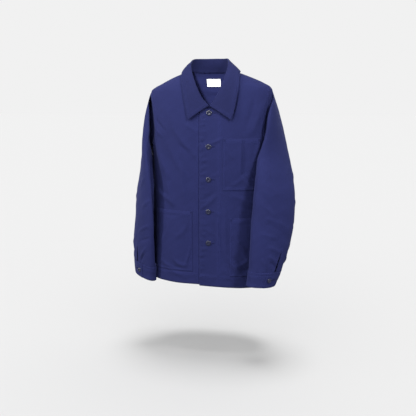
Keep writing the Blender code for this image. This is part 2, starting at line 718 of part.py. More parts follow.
def button_mesh(name, radius, height, plastic):
    """A turned disc with a raised rim round a shallow dish."""
    profile = (
        (0.00, 0.62),
        (0.56, 0.62),
        (0.76, 1.00),
        (0.92, 0.90),
        (1.00, 0.55),
        (0.90, 0.12),
        (0.74, 0.00),
        (0.00, 0.00),
    )
    form = bmesh.new()
    points = [form.verts.new((radius * r, 0.0, height * z)) for r, z in profile]
    edges = [form.edges.new(pair) for pair in zip(points, points[1:])]
    bmesh.ops.spin(
        form,
        geom=points + edges,
        cent=(0, 0, 0),
        axis=(0, 0, 1),
        angle=2 * np.pi,
        steps=BUTTON_SIDES,
    )
    bmesh.ops.remove_doubles(form, verts=form.verts, dist=1e-6)
    bmesh.ops.recalc_face_normals(form, faces=form.faces)
    mesh = bpy.data.meshes.new(name)
    form.to_mesh(mesh)
    form.free()
    mesh.materials.append(plastic)
    mesh.shade_smooth()
    mesh.set_sharp_from_angle(angle=np.radians(50))
    return mesh


def place(name, mesh, point, normal):
    """An object whose own Z runs along the normal."""
    obj = bpy.data.objects.new(name, mesh)
    obj.location = point
    obj.rotation_euler = Vector(normal).to_track_quat("Z", "Y").to_euler()
    bpy.context.scene.collection.objects.link(obj)


def front_buttons(mesh):
    for i in range(BUTTON_COUNT):
        drop = BUTTON_FIRST + i * BUTTON_PITCH
        point = body_point(1, 90.0, drop, LIFT[1] + SEAT)
        place(f"button_{i + 1}", mesh, point, body_normal(1, 90.0, drop))


def cuff_button(name, side, mesh):
    """On the band's outer end, over the lap."""
    step = SLEEVE_SIDES + CUFF_LAP / 2
    angle = (VENT_SIDE[side] + step) * 360 / SLEEVE_SIDES
    drop = CUFF_TOP[side] + CUFF_DEPTH / 2
    places = [
        sleeve_ring(side, d, a, cuff_grow(step) + SEAT)
        for d, a in ((drop, angle), (drop, angle - 4), (drop, angle + 4), (drop + 0.01, angle))
    ]
    normal = unit(np.cross(places[2] - places[1], places[3] - places[0]))
    outward = places[0] - sleeve_ring(side, drop, angle + 180)
    place(name, mesh, places[0], normal * np.sign(normal @ outward))


def build():
    for old in list(bpy.data.objects):
        bpy.data.objects.remove(old)
    cotton = material("navy_cotton", NAVY, 0.85)
    horn = material("button_blue", BUTTON_BLUE, 0.18)
    woven = material("label_white", LABEL_WHITE, 0.8)
    front("front_left", 1, cotton)
    front("front_right", -1, cotton)
    back("back", cotton)
    for side, word in ((1, "left"), (-1, "right")):
        sleeve(f"sleeve_{word}", side, cotton)
        cuff(f"cuff_{word}", side, cotton)
    collar("collar", cotton)
    for name, row in POCKETS.items():
        pocket(name, *row, cotton)
    label("label", woven)
    front_buttons(button_mesh("front_button", BUTTON_RADIUS, BUTTON_HEIGHT, horn))
    small = button_mesh("cuff_button", CUFF_BUTTON_RADIUS, CUFF_BUTTON_HEIGHT, horn)
    cuff_button("cuff_button_left", 1, small)
    cuff_button("cuff_button_right", -1, small)


build()
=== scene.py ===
"""The looks of a navy cotton chore jacket, filled out as if worn, with nobody in it.

Metres, +Z up. The jacket faces -Y and +X is the wearer's left. A place on its body is given by
its side (1 is the wearer's left, -1 the right), its turn in degrees round the body (0 at the
side seam and along the shoulder, 90 at the centre front, -90 at the centre back) and its drop
below the side-neck points.
"""

import json

import bmesh
import bpy
import numpy as np
from mathutils import Matrix, Vector

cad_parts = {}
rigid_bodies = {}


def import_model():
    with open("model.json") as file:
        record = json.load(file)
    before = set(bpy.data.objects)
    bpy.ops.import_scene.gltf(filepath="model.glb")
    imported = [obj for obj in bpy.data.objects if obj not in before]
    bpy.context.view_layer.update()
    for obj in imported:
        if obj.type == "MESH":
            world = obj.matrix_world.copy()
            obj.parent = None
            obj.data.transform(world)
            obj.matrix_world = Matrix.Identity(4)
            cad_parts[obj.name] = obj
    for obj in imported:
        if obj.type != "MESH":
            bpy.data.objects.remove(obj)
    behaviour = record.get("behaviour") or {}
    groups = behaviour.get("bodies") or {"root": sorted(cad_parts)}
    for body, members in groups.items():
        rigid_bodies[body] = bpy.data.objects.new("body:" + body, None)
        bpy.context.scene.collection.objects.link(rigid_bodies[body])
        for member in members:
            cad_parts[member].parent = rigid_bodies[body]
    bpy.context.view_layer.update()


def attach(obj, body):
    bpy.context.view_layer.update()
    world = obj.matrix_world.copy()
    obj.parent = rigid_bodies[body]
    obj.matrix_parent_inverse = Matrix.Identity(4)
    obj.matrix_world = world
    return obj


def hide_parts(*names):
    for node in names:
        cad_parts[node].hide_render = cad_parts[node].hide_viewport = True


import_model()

# ---------------------------------------------------------------------------------------------
# Fronts. Two panels of plain-weave cotton, the left one lapping over the right. Each has its own
# edge turned in as a wide facing, held by one row of stitches, and a turned hem. Flat-felled
# seams with two rows join them to the back and the sleeves.
# ---------------------------------------------------------------------------------------------

MM = 0.001
SIDES = {1: "left", -1: "right"}
CLOTH = 0.0009
FOLDED_IN = 0.0005  # a facing or hem behind the cloth
FOLD_STEP = 0.003  # the width over which that layer ends
SEAM = 0.0003
FORWARD = np.array([0.0, -SEAM / 2, 0.0])  # a front's half of the gap to the back
LEVEL = np.array([1.0, 1.0, 0.0])
BEAD = 0.45  # how far an edge is rounded out, as a share of its thickness
HEM_CENTRE = {1: 0.7238, -1: 0.7205}
HEM_SIDE = {1: 0.7270, -1: 0.7150}
HEM_BOW = {1: 0.0040, -1: 0.0015}
HEM_BOW_UP = 24  # the rows of cells over which the hem's bow fades
HEM_DEPTH = 0.034
ARMPIT = 0.250
SHOULDER_TIP = {1: 0.055, -1: 0.066}
NECK_CORNER = (0.003, 6)  # how long it is, in how many rows
OVERLAP = {1: 0.031, -1: 0.034}
LIFT = {1: 0.0012, -1: -0.0014}
LIFT_FADES = (0.045, 0.100)
FACING = 0.0675  # from a front's own edge to its row of stitches
EDGE_ROW = 0.0022
TWIN_ROWS = (0.0016, 0.0078)  # from a seam
FELL = (0.0090, 0.0118, 0.0005)  # where a felled seam's layers end, and their height
SEAM_FADE = 0.012  # creases die away this near a seam
SHOULDER_SEWN = (0.02, 0.96)  # the share of the shoulder that the rows run along
FRONT_SLACK = 0.0008
CREASE_TAPER = 0.7
NO_ROW = 0.05  # a distance from a row that a piece hasn't got
SQUARENESS = 2.4
COLUMNS = 96
SIDE_ROWS, EDGE_ROWS, NECK_ROWS = 90, 30, 42
ARMHOLE_ROWS = EDGE_ROWS + NECK_ROWS + 6

# The body's oval, in millimetres: drop, half-width to left and right, depth in front and behind.
BODY = MM * np.array([
    (0, 61, 76, 32, 52),
    (8, 91, 99, 37, 58),
    (20, 124, 129, 44, 66),
    (40, 170, 169, 54, 75),
    (55, 195, 198, 60, 81),
    (66, 200, 210, 64, 84),
    (90, 202, 215, 70, 90),
    (130, 201, 215, 78, 96),
    (190, 198, 212, 86, 100),
    (250, 194, 208, 90, 101),
    (350, 193, 206, 92, 99),
    (500, 197, 208, 93, 97),
    (730, 205, 217, 95, 99),
])
LEFT, RIGHT, FRONT, BEHIND = 1, 2, 3, 4

# Broad folds down the body: side, turn, starting drop, ending drop, width in degrees, height.
BODY_FOLDS = (
    (1, -58, 0.10, 0.62, 9, 0.0038),
    (1, -30, 0.36, 1.00, 8, 0.0036),
    (1, -76, 0.44, 1.06, 7, 0.0026),
    (-1, -56, 0.14, 0.70, 9, 0.0036),
    (-1, -28, 0.30, 1.02, 8, 0.0034),
    (-1, -74, 0.50, 1.00, 7, 0.0028),
    (1, 38, 0.14, 0.46, 8, 0.0020),
    (1, 66, 0.56, 1.02, 8, 0.0024),
    (-1, 40, 0.12, 0.44, 8, 0.0024),
    (-1, 62, 0.60, 1.00, 8, 0.0026),
)

# Hollows beside the arms, in the same terms.
SIDE_HOLLOWS = (
    (-1, 24, 0.10, 0.60, 13, -0.0030),
    (1, 22, 0.20, 1.00, 12, -0.0060),
)

# The armhole's edge: share of the way down, millimetres in from the side in front and behind.
ARMHOLE = np.array([
    (0.00, 0, 0),
    (0.08, 7, 6),
    (0.22, 15, 12),
    (0.45, 22, 18),
    (0.70, 23, 21),
    (0.86, 17, 16),
    (0.95, 8, 7),
    (1.00, 0, 0),
]) * (1, MM, MM)

# The front neckline: share of the way from side neck to centre front, millimetres in and down.
NECKLINE = np.array([
    (0.00, 0, 0),
    (0.14, 1.5, 6),
    (0.28, 4, 16),
    (0.43, 8.5, 32),
    (0.58, 16.5, 56),
    (0.72, 29, 84),
    (0.86, 47, 108),
    (1.00, 69, 124),
]) * (1, MM, MM)

# Creases in front, in millimetres: from x and drop, to x and drop, bow aside, width, and height,
# which is under 0 for a trough.
FRONT_CREASES = MM * np.array([
    # beside the lapped edge
    (-34, 120, -34, 730, 0, 2.2, -2),
    # drag lines at the second, third, fourth and fifth buttons
    (-4, 239, 50, 215, 2, 4.2, 2.4),
    (-22, 248, 10, 257, -2, 3.6, 1.4),
    (4, 344, 40, 332, 1, 4, 1.4),
    (-26, 452, 30, 403, 3, 4.6, 2.7),
    (-12, 420, 21, 393, 2, 3.6, -1.9),
    (6, 464, 46, 476, -3, 4.6, 1.7),
    (-29, 517, 24, 562, -11, 4.4, 2.4),
    (-24, 540, 16, 552, -4, 3.4, -1.5),
    # soft hollows between the buttons and the lower pocket
    (20, 496, 34, 590, 3, 5.2, -2.2),
    (39, 488, 50, 580, 2, 5, -1.9),
    (30, 484, 43, 604, 2, 5.6, 1.9),
    (56, 430, 64, 660, 3, 8, 2),
    # under the chest pocket, towards the sleeve
    (108, 338, 170, 408, 4, 7, 3.7),
    (126, 340, 182, 392, 3, 5.2, -2.6),
    (76, 406, 172, 456, -6, 9, 3.1),
    (90, 440, 160, 466, -3, 6, -1.7),
    # over the left hem, where the sleeve rests
    (62, 612, 134, 708, 4, 8, 3.7),
    (90, 612, 144, 680, 3, 6, -2.4),
    (112, 596, 180, 690, 4, 8, 3.4),
    (48, 650, 98, 720, 2, 6, 2.4),
    # pressed in under the edge of the collar's left leaf
    (95.5, 60, 73.2, 168, 0, 3.2, -6),
    # from the left shoulder down to the chest
    (176, 90, 132, 210, -6, 10, 2.7),
    (148, 80, 118, 190, -4, 8, -1.5),
    (188, 190, 150, 300, 4, 8, 3.1),
    # under the right leaf of the collar
    (-126, 178, -24, 296, 6, 8.5, 3.2),
    (-108, 236, -48, 272, 3, 6, -2),
    (-142, 230, -64, 360, 6, 11, 3.1),
    (-90, 170, -34, 206, -3, 6, 1.9),
    # by the right armhole
    (-190, 152, -148, 200, 2, 5, -2.7),
    (-196, 176, -158, 218, 2, 5.6, 3.1),
    (-186, 220, -134, 360, 8, 11, 4.8),
    (-196, 250, -162, 420, 5, 9, -3.4),
    (-150, 330, -120, 456, 4, 10, 3.1),
    # over and beside the lower right pocket
    (-196, 402, -118, 448, -6, 8, 3.1),
    (-46, 420, -40, 570, 3, 7, 2),
    (-90, 300, -78, 440, 4, 10, 2.4),
    (-156, 666, -68, 698, 4, 7, 2.4),
    (-50, 620, -38, 710, 2, 6, 1.7),
])

# Where the stiff turned edge has drawn up: x, pitch, longest, tallest, width, top and bottom drop.
EDGE_PUCKERS = (-0.0315, 0.0092, 0.034, 0.0034, 0.0030, 0.148, 0.700)

NAVY = (0.0056, 0.0071, 0.0328)
YARN = 0.00050
PUCKER, GROOVE_WIDE = 0.0009, 0.0009  # how deep stitches draw the cloth in, how wide a groove


def smooth(knots, values, at):
    """A cubic through a table's values that never overshoots them."""
    step = np.diff(knots)
    slope = np.diff(values) / step
    before, after = slope[:-1], slope[1:]
    same_way = before * after > 0
    both = np.where(same_way, before + after, 1.0)
    inner = np.where(same_way, 2 * before * after / both, 0.0)
    tangent = np.concatenate([slope[:1], inner, slope[-1:]])
    at = np.asarray(at, float)
    i = np.clip(np.searchsorted(knots, at, side="right") - 1, 0, len(step) - 1)
    s = np.clip((at - knots[i]) / step[i], 0.0, 1.0)
    return (
        values[i] * (1 + 2 * s) * (1 - s) ** 2
        + values[i + 1] * s**2 * (3 - 2 * s)
        + step[i] * (tangent[i] * s * (1 - s) ** 2 - tangent[i + 1] * s**2 * (1 - s))
    )


def read(table, column, at):
    return smooth(table[:, 0], table[:, column], at)


def ease(value, low, high):
    """0 below low, 1 above high, and a smooth rise between them."""
    share = np.clip((value - low) / (high - low), 0.0, 1.0)
    return share**2 * (3 - 2 * share)


def unit(vectors):
    return vectors / np.maximum(np.linalg.norm(vectors, axis=-1, keepdims=True), 1e-12)


def half_width(side, drop):
    return read(BODY, LEFT if side > 0 else RIGHT, drop)


def rounded(value):
    return np.sign(value) * np.abs(value) ** (2 / SQUARENESS)


def body_folds(folds, side, turn, drop):
    height = 0.0 * (turn + drop)
    for of_side, at, start, end, width, rise in folds:
        if of_side == side:
            share = np.clip((drop - start) / (end - start), 0.0, 1.0)
            height = height + rise * np.exp(-(((turn - at) / width) ** 2)) * np.sin(np.pi * share)
    return height


def body_surface(side, turn, drop):
    turn, drop = np.broadcast_arrays(np.asarray(turn, float), np.asarray(drop, float))
    angle = np.radians(turn)
    depth = np.where(turn > 0, read(BODY, FRONT, drop), read(BODY, BEHIND, drop))
    x = side * half_width(side, drop) * rounded(np.cos(angle))
    y = -depth * rounded(np.sin(angle))
    out = 1 + body_folds(BODY_FOLDS, side, turn, drop) / np.hypot(x, y)
    return np.stack([x * out, y * out, -drop], -1)


def body_normal(side, turn, drop):
    down = body_surface(side, turn, drop + 0.002)
    down = down - body_surface(side, turn, np.maximum(drop - 0.002, 0.0))
    across = body_surface(side, turn + 0.7, drop) - body_surface(side, turn - 0.7, drop)
    return -side * unit(np.cross(down, across))


def body_point(side, turn, drop, lift=0.0):
    lift = np.asarray(lift, float)[..., None]
    return body_surface(side, turn, drop) + lift * body_normal(side, turn, drop)


def turn_at(side, x, drop):
    """The turn at which the body's front is x out from the centre front."""
    share = np.clip(x / half_width(side, drop), -1.0, 1.0)
    return np.degrees(np.arccos(np.sign(share) * np.abs(share) ** (SQUARENESS / 2)))


def front_lift(side, turn, drop):
    x = side * body_surface(side, turn, drop)[..., 0]
    return LIFT[side] * (1 - ease(x, *LIFT_FADES))


def armhole(side, angle, behind):
    """(turn, drop) on the armhole's edge, at an angle round it from the shoulder tip."""
    share = (1 - np.cos(np.radians(angle))) / 2
    drop = SHOULDER_TIP[side] + (ARMPIT - SHOULDER_TIP[side]) * share
    inset = read(ARMHOLE, 2 if behind else 1, share)
    turn = turn_at(side, half_width(side, drop) - inset, drop)
    return -turn if behind else turn, drop


def front_neck(side, share):
    """(turn, drop) on the front neckline, from the side neck to the centre front."""
    drop = read(NECKLINE, 2, share)
    x = half_width(side, 0.0) * (1 - read(NECKLINE, 1, share) / NECKLINE[-1, 1])
    return turn_at(side, x, drop), drop


def joined(*pieces):
    turns, drops = zip(*pieces)
    return tuple(
        np.concatenate([runs[0]] + [run[1:] for run in runs[1:]]) for runs in (turns, drops)
    )


def ruled(one, other):
    """A grid of (turn, drop) between two edges with the same number of points."""
    share = np.linspace(0, 1, COLUMNS + 1)
    one, other = (np.stack(edge, -1)[:, None, :] for edge in (one, other))
    grid = one * (1 - share[:, None]) + other * share[:, None]
    return grid[..., 0], grid[..., 1]


def outside_edge(side, behind):
    """(turn, drop) up the side seam and round half of the armhole to the shoulder tip."""
    drops = np.linspace(HEM_SIDE[side], ARMPIT, SIDE_ROWS + 1)
    around = np.linspace(180, 0, ARMHOLE_ROWS + 1)
    return joined((0 * drops, drops), armhole(side, around, behind))


def creases(rows, across, along):
    """The height of soft creases at places (across, along), from rows as FRONT_CREASES has."""
    height = 0.0 * (across + along)
    for x0, y0, x1, y1, bow, width, rise in rows:
        run = np.array([x1 - x0, y1 - y0])
        size = np.hypot(*run)
        share = ((across - x0) * run[0] + (along - y0) * run[1]) / size**2
        inside = np.clip(share, 0.0, 1.0)
        aside = ((along - y0) * run[0] - (across - x0) * run[1]) / size
        aside = aside - bow * 4 * inside * (1 - inside)
        beyond = (share - inside) * size
        fade = np.sin(np.pi * inside) ** CREASE_TAPER * np.exp(-((beyond / width) ** 2))
        height = height + rise * np.exp(-((aside / width) ** 2)) * fade
    return height


def slack(points, size):
    """The unevenness of hanging cloth, the same wherever two pieces meet."""
    x, y, z = np.moveaxis(points, -1, 0)
    waves = (
        np.sin(61 * x + 23 * z + 1.3) * np.sin(47 * z - 19 * y + 0.4)
        + 0.7 * np.sin(97 * z + 41 * x - 2.1) * np.sin(83 * x - 37 * y + 2.7)
        + 0.5 * np.sin(139 * x - 71 * z + 0.9) * np.sin(113 * z + 59 * y - 1.7)
    )
    return size * waves / 2.2


def distance_to(points, *lines):
    """How far each of the points is from the nearest of some lines of points."""
    flat = points.reshape(-1, 3)
    nearest = np.full(len(flat), np.inf)
    for line in lines:
        for start, end in zip(line[:-1], line[1:]):
            run = end - start
            share = np.clip((flat - start) @ run / (run @ run), 0.0, 1.0)
            away = np.linalg.norm(flat - start - share[:, None] * run, axis=1)
            nearest = np.minimum(nearest, away)
    return nearest.reshape(points.shape[:-1])


def row_distances(*distances):
    return np.stack(np.broadcast_arrays(*distances), -1)


def lengths(grid):
    """Distances along a grid's columns and down its rows, in metres: its place on flat cloth."""
    flat = []
    for axis in (1, 0):
        steps = np.linalg.norm(np.diff(grid, axis=axis), axis=-1)
        pad = [(0, 0), (0, 0)]
        pad[axis] = (1, 0)
        flat.append(np.cumsum(np.pad(steps, pad), axis=axis))
    return np.stack(flat, -1)


def put(name, mesh):
    made = bpy.data.objects.new(name, mesh)
    bpy.context.scene.collection.objects.link(made)
    return made


def sew(name, patches, cloth):
    """One closed piece of cloth, with rounded edges, from patches that may share an edge.

    Each patch has grids of its outer face, its inner face, its place on the flat cloth, and its
    distances from a seam, from a hem's row and from a facing's row of stitches.
    """
    outer, inner, flat, rows = (
        np.concatenate([np.reshape(patch[i], (-1, size)) for patch in patches])
        for i, size in enumerate((3, 3, 2, 3))
    )
    quads, start = [], 0
    for patch in patches:
        index = start + np.arange(patch[0][..., 0].size).reshape(patch[0].shape[:2])
        corners = (index[:-1, :-1], index[:-1, 1:], index[1:, 1:], index[1:, :-1])
        quads.append(np.stack(corners, -1).reshape(-1, 4))
        start += index.size
    quads = np.concatenate(quads)
    places = np.round(np.hstack([outer, inner]), 6)
    _, first, index = np.unique(places, axis=0, return_index=True, return_inverse=True)
    index = index.reshape(-1)
    outer, inner, rows, count = outer[first], inner[first], rows[first], len(first)
    faces = index[quads]
    facing = np.cross(
        outer[faces[:, 2]] - outer[faces[:, 0]], outer[faces[:, 3]] - outer[faces[:, 1]]
    )
    if (facing * (outer - inner)[faces[:, 0]]).sum() < 0:
        quads, faces = quads[:, ::-1], faces[:, ::-1]
    starts, ends = faces.reshape(-1), np.roll(faces, -1, axis=1).reshape(-1)
    rim = ~np.isin(starts * count + ends, ends * count + starts)
    a, b = starts[rim], ends[rim]
    a_flat, b_flat = quads.reshape(-1)[rim], np.roll(quads, -1, axis=1).reshape(-1)[rim]
    middle, through = (outer + inner) / 2, outer - inner
    along = np.zeros_like(middle)
    np.add.at(along, a, middle[b] - middle[a])
    np.add.at(along, b, middle[b] - middle[a])
    edge = np.unique(np.concatenate([a, b]))
    thick = np.linalg.norm(through[edge], axis=1, keepdims=True)
    bead = middle[edge] + BEAD * thick * unit(np.cross(along[edge], through[edge]))
    at = np.full(count, -1)
    at[edge] = 2 * count + np.arange(len(edge))
    round_edge = [
        np.stack(four, -1) for four in ((b, a, at[a], at[b]), (at[b], at[a], a + count, b + count))
    ]
    edge_flat = np.stack([b_flat, a_flat, a_flat, b_flat], -1)
    faces = np.vstack([faces, faces[:, ::-1] + count, *round_edge])
    corners = np.vstack([quads, quads[:, ::-1], edge_flat, edge_flat]).reshape(-1)
    mesh = bpy.data.meshes.new(name)
    mesh.from_pydata(np.vstack([outer, inner, bead]).tolist(), [], faces.tolist())
    mesh.uv_layers.new(name="cloth").data.foreach_set("uv", flat[corners].astype("f").ravel())
    rows = np.vstack([rows, rows, rows[edge]]).astype("f")
    for i, word in enumerate(("from_seam", "from_hem_row", "from_facing_row")):
        values = np.ascontiguousarray(rows[:, i])
        mesh.attributes.new(word, "FLOAT", "POINT").data.foreach_set("value", values)
    mesh.shade_smooth()
    mesh.materials.append(cloth)
    return put(name, mesh)


def add_node(tree, kind, *values, out=0, **settings):
    """A node with its first inputs linked or set in order. None leaves an input as it is."""
    made = tree.nodes.new(kind)
    for word, value in settings.items():
        setattr(made, word, value)
    for socket, value in zip(made.inputs, values):
        if isinstance(value, bpy.types.NodeSocket):
            tree.links.new(value, socket)
        elif value is not None:
            socket.default_value = value
    return made.outputs[out]


def add_math(tree, operation, *values):
    return add_node(tree, "ShaderNodeMath", *values, operation=operation)


def add_bell(tree, value, centre, width=GROOVE_WIDE):
    """exp(-((value - centre) / width)^2)."""
    off = add_math(tree, "DIVIDE", add_math(tree, "SUBTRACT", value, centre), width)
    squared = add_math(tree, "MULTIPLY", off, off)
    return add_math(tree, "EXPONENT", add_math(tree, "MULTIPLY", squared, -1.0))


def add_noise(tree, at, scale, detail, rough, bent=0.0):
    values = at, None, scale, detail, rough, None, None, None, bent
    return add_node(tree, "ShaderNodeTexNoise", *values)


def add_bump(tree, height, distance, under=None):
    made = tree.nodes.new("ShaderNodeBump")
    made.inputs["Strength"].default_value = 1.0
    made.inputs["Distance"].default_value = distance
    tree.links.new(height, made.inputs["Height"])
    if under is not None:
        tree.links.new(under, made.inputs["Normal"])
    return made.outputs["Normal"]


def new_material(name, settings):
    """A material with its node tree and its shader's inputs, some of them set."""
    made = bpy.data.materials.new(name)
    made.use_nodes = True
    inputs = made.node_tree.nodes["Principled BSDF"].inputs
    for word, value in settings.items():
        inputs[word].default_value = value
    return made, made.node_tree, inputs


def add_shades(tree, value, ends, colour, shades, base):
    """Colours the base with shades of a colour, as a value goes from one end to the other."""
    ramp = tree.nodes.new("ShaderNodeValToRGB")
    for i in (0, 1):
        ramp.color_ramp.elements[i].position = ends[i]
        ramp.color_ramp.elements[i].color = (*(shades[i] * c for c in colour), 1.0)
    tree.links.new(value, ramp.inputs[0])
    tree.links.new(ramp.outputs[0], base)


def woven_cotton(name, colour):
    """Matt plain-weave cotton: yarns over and under, slubs, and puckers along its stitches, with
    painted shade in the stitches' grooves and a painted highlight on the puckers beside them.
    """
    matt = {"Roughness": 0.88, "Specular IOR Level": 0.07, "Sheen Weight": 0.05}
    matt |= {"Sheen Roughness": 0.42, "Sheen Tint": (0.30, 0.34, 0.80, 1.0)}
    made, tree, inputs = new_material(name, matt)
    flat = add_node(tree, "ShaderNodeUVMap", uv_map="cloth")
    there = add_node(tree, "ShaderNodeTexCoord", out="Object")

    # over and under
    split = tree.nodes.new("ShaderNodeSeparateXYZ")
    tree.links.new(flat, split.inputs[0])
    turns = [add_math(tree, "MULTIPLY", split.outputs[i], np.pi / YARN) for i in (0, 1)]
    yarns = add_math(tree, "MULTIPLY", *(add_math(tree, "SINE", turn) for turn in turns))

    # uneven yarns both ways, and the slow change of a dyed and washed cloth
    streaks = []
    for scale in ((45.0, 1900.0, 1.0), (1900.0, 45.0, 1.0)):
        stretched = add_node(tree, "ShaderNodeVectorMath", flat, scale, operation="MULTIPLY")
        streaks.append(add_noise(tree, stretched, 1.0, 2.0, 0.6))
    uneven = add_math(tree, "MULTIPLY", add_math(tree, "ADD", *streaks), 0.42)
    wash = add_math(tree, "MULTIPLY", add_noise(tree, there, 9.0, 4.0, 0.6), 0.5)
    tone = add_math(tree, "ADD", uneven, wash)

    # rows of stitches: a groove at each, and puckers beside it
    seam, hem, facing = (
        add_node(tree, "ShaderNodeAttribute", attribute_name=word, out=2)
        for word in ("from_seam", "from_hem_row", "from_facing_row")
    )
    groove = add_bell(tree, seam, TWIN_ROWS[0])
    for row in ((seam, TWIN_ROWS[1]), (hem, 0.0), (facing, 0.0)):
        groove = add_math(tree, "ADD", groove, add_bell(tree, *row))
    beside = add_bell(tree, seam, 0.0045, 0.0055)
    for row in (hem, facing):
        beside = add_math(tree, "MAXIMUM", beside, add_bell(tree, row, 0.0, 0.0065))
    fine, broad = add_noise(tree, there, 150.0, 2.0, 0.5), add_noise(tree, there, 60.0, 1.0, 0.5)
    pucker = add_math(tree, "MULTIPLY", add_math(tree, "ADD", fine, broad), beside)
    pucker = add_math(tree, "SUBTRACT", pucker, add_math(tree, "MULTIPLY", groove, 0.35))

    # painted light and shade: the puckered cloth beside the stitches is painted paler, as if lit,
    # and the grooves darker, as if in shade
    tone = add_math(tree, "ADD", tone, add_math(tree, "MULTIPLY", pucker, 0.22))
    add_shades(tree, tone, (0.35, 1.0), colour, (0.86, 1.16), inputs["Base Color"])

    # small soft creases everywhere, then puckers, then the weave
    normal = add_bump(tree, add_noise(tree, there, 34.0, 3.0, 0.5), 0.0012)
    normal = add_bump(tree, pucker, PUCKER, normal)
    tree.links.new(add_bump(tree, yarns, 0.00003, normal), inputs["Normal"])
    return made


stitched = []  # (points, outward vectors) of each row of stitches, of all the pieces


def along_edge(grid, normals, edge, distance, start=0.0, end=1.0):
    """Adds a row of stitches on a piece's face, a distance in from one edge of its grid."""
    if edge in ("left", "right"):
        grid, normals = grid.transpose(1, 0, 2), normals.transpose(1, 0, 2)
    if edge in ("last", "right"):
        grid, normals = grid[::-1], normals[::-1]
    step, run = unit(grid[1] - grid[0]), unit(np.gradient(grid[0], axis=0))
    askew = np.clip(np.linalg.norm(np.cross(step, run), axis=-1), 0.4, 1.0)
    reach = np.cumsum(np.linalg.norm(np.diff(grid, axis=0), axis=-1), axis=0)
    reach = np.vstack([0 * reach[:1], reach])
    row, out = [], []
    for i in range(int(start * (grid.shape[1] - 1)), int(end * (grid.shape[1] - 1)) + 1):
        at = np.interp(distance / askew[i], reach[:, i], np.arange(len(grid)))
        low = min(int(at), len(grid) - 2)
        share = at - low
        row.append(grid[low, i] * (1 - share) + grid[low + 1, i] * share)
        out.append(normals[low, i])
    stitched.append((np.array(row), np.array(out)))


def edge_puckers():
    x, pitch, longest, tallest, wide, drop, bottom = EDGE_PUCKERS
    random = np.random.default_rng(7)
    rows = []
    while drop < bottom:
        length = longest * random.uniform(0.35, 1.0)
        fall = random.uniform(-0.18, 0.30) * length
        row = (x, drop, x + length, drop - fall, random.uniform(-0.002, 0.002))
        rows.append((*row, wide, tallest * random.uniform(0.35, 1.0)))
        drop += pitch * random.uniform(0.7, 1.5)
    return rows


def felled(from_seam):
    start, end, height = FELL
    return height * (1 - ease(from_seam, start, end))


def front_relief(side, turns, drops):
    """How far a front's creases stand off its surface. A pocket on it has the same."""
    points = body_surface(side, turns, drops)
    hollow = body_folds(SIDE_HOLLOWS, side, turns, drops)
    return creases(FRONT_CREASES, points[..., 0], drops) + hollow + slack(points, FRONT_SLACK)


cotton = woven_cotton("navy_cotton", NAVY)


def panel(side, turns, drops):
    """A panel's plain surface, its outward vectors, and its distances from seams and from hem."""
    plain = body_surface(side, turns, drops)
    from_seam = distance_to(plain, plain[::2, -1], plain[-1, ::4])
    return plain, body_normal(side, turns, drops), from_seam, distance_to(plain, plain[0, ::3])


def folded_in(distance, reach):
    """1 where a turned edge lies behind the cloth, 0 beyond it."""
    return 1 - ease(distance, reach, reach + FOLD_STEP)


def front(side):
    corner_size, corner_rows = NECK_CORNER
    meet = NECKLINE[-1, 2]
    low = np.linspace(HEM_CENTRE[side], ARMPIT, SIDE_ROWS + 1)
    high = np.linspace(ARMPIT, meet + corner_size, EDGE_ROWS + 1)
    corner = np.linspace(meet + corner_size, meet, corner_rows + 1)
    own = np.concatenate([low, high[1:], corner[1:]])
    own = (turn_at(side, -OVERLAP[side], own), own)
    neck = front_neck(side, np.linspace(1, 0, NECK_ROWS + 1))
    share = np.linspace(0, 1, corner_rows + 1)[1:]
    own[0][-corner_rows:] = own[0][-corner_rows] * (1 - share) + neck[0][0] * share
    turns, drops = ruled(joined(own, neck), outside_edge(side, behind=False))
    share = np.linspace(0, 1, COLUMNS + 1)
    fade = np.clip(1 - np.arange(len(drops)) / HEM_BOW_UP, 0.0, 1.0)[:, None]
    drops = drops + HEM_BOW[side] * fade * 4 * share * (1 - share)

    plain, normals, from_seam, from_hem = panel(side, turns, drops)
    straight = plain[: len(low) + len(high), 0]
    from_own = distance_to(plain, straight[::4])
    armhole_only = distance_to(plain, plain[SIDE_ROWS::2, -1])
    relief = front_relief(side, turns, drops) + felled(armhole_only)
    if side > 0:
        relief = relief + creases(edge_puckers(), plain[..., 0], drops)
    relief = relief * ease(from_seam, 0.0, SEAM_FADE)
    lift = (front_lift(side, turns, drops) + relief)[..., None]
    outer = plain + lift * normals + FORWARD
    doubled = np.maximum(folded_in(from_hem, HEM_DEPTH), folded_in(from_own, FACING))
    inner = outer - (CLOTH + FOLDED_IN * doubled)[..., None] * normals
    rows = row_distances(from_seam, from_hem - HEM_DEPTH, from_own - FACING)
    word = SIDES[side]
    piece = sew(f"front_{word}_cloth", [(outer, inner, lengths(outer), rows)], cotton)
    tall = len(straight) / len(plain)
    along_edge(outer, normals, "left", FACING, 0.0, tall)
    along_edge(outer, normals, "left", EDGE_ROW, 0.0, tall)
    along_edge(outer, normals, "first", HEM_DEPTH)
    for distance in TWIN_ROWS:
        along_edge(outer, normals, "right", distance, SIDE_ROWS / (len(plain) - 1))
        along_edge(outer, normals, "last", distance, *SHOULDER_SEWN)
    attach(piece, "root")
    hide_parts(f"front_{word}")
    return piece


for side in SIDES:
    front(side)

# ---------------------------------------------------------------------------------------------
# Back. One panel of the same cotton, with no centre seam, hanging from the shoulder seams. Its
# turned hem goes on round from the fronts' hems.
# ---------------------------------------------------------------------------------------------

HEM_BACK = 0.7220
BACK_NECK = 0.004
BACK_NECK_ROWS = 30
BACK_SLACK = 0.0010

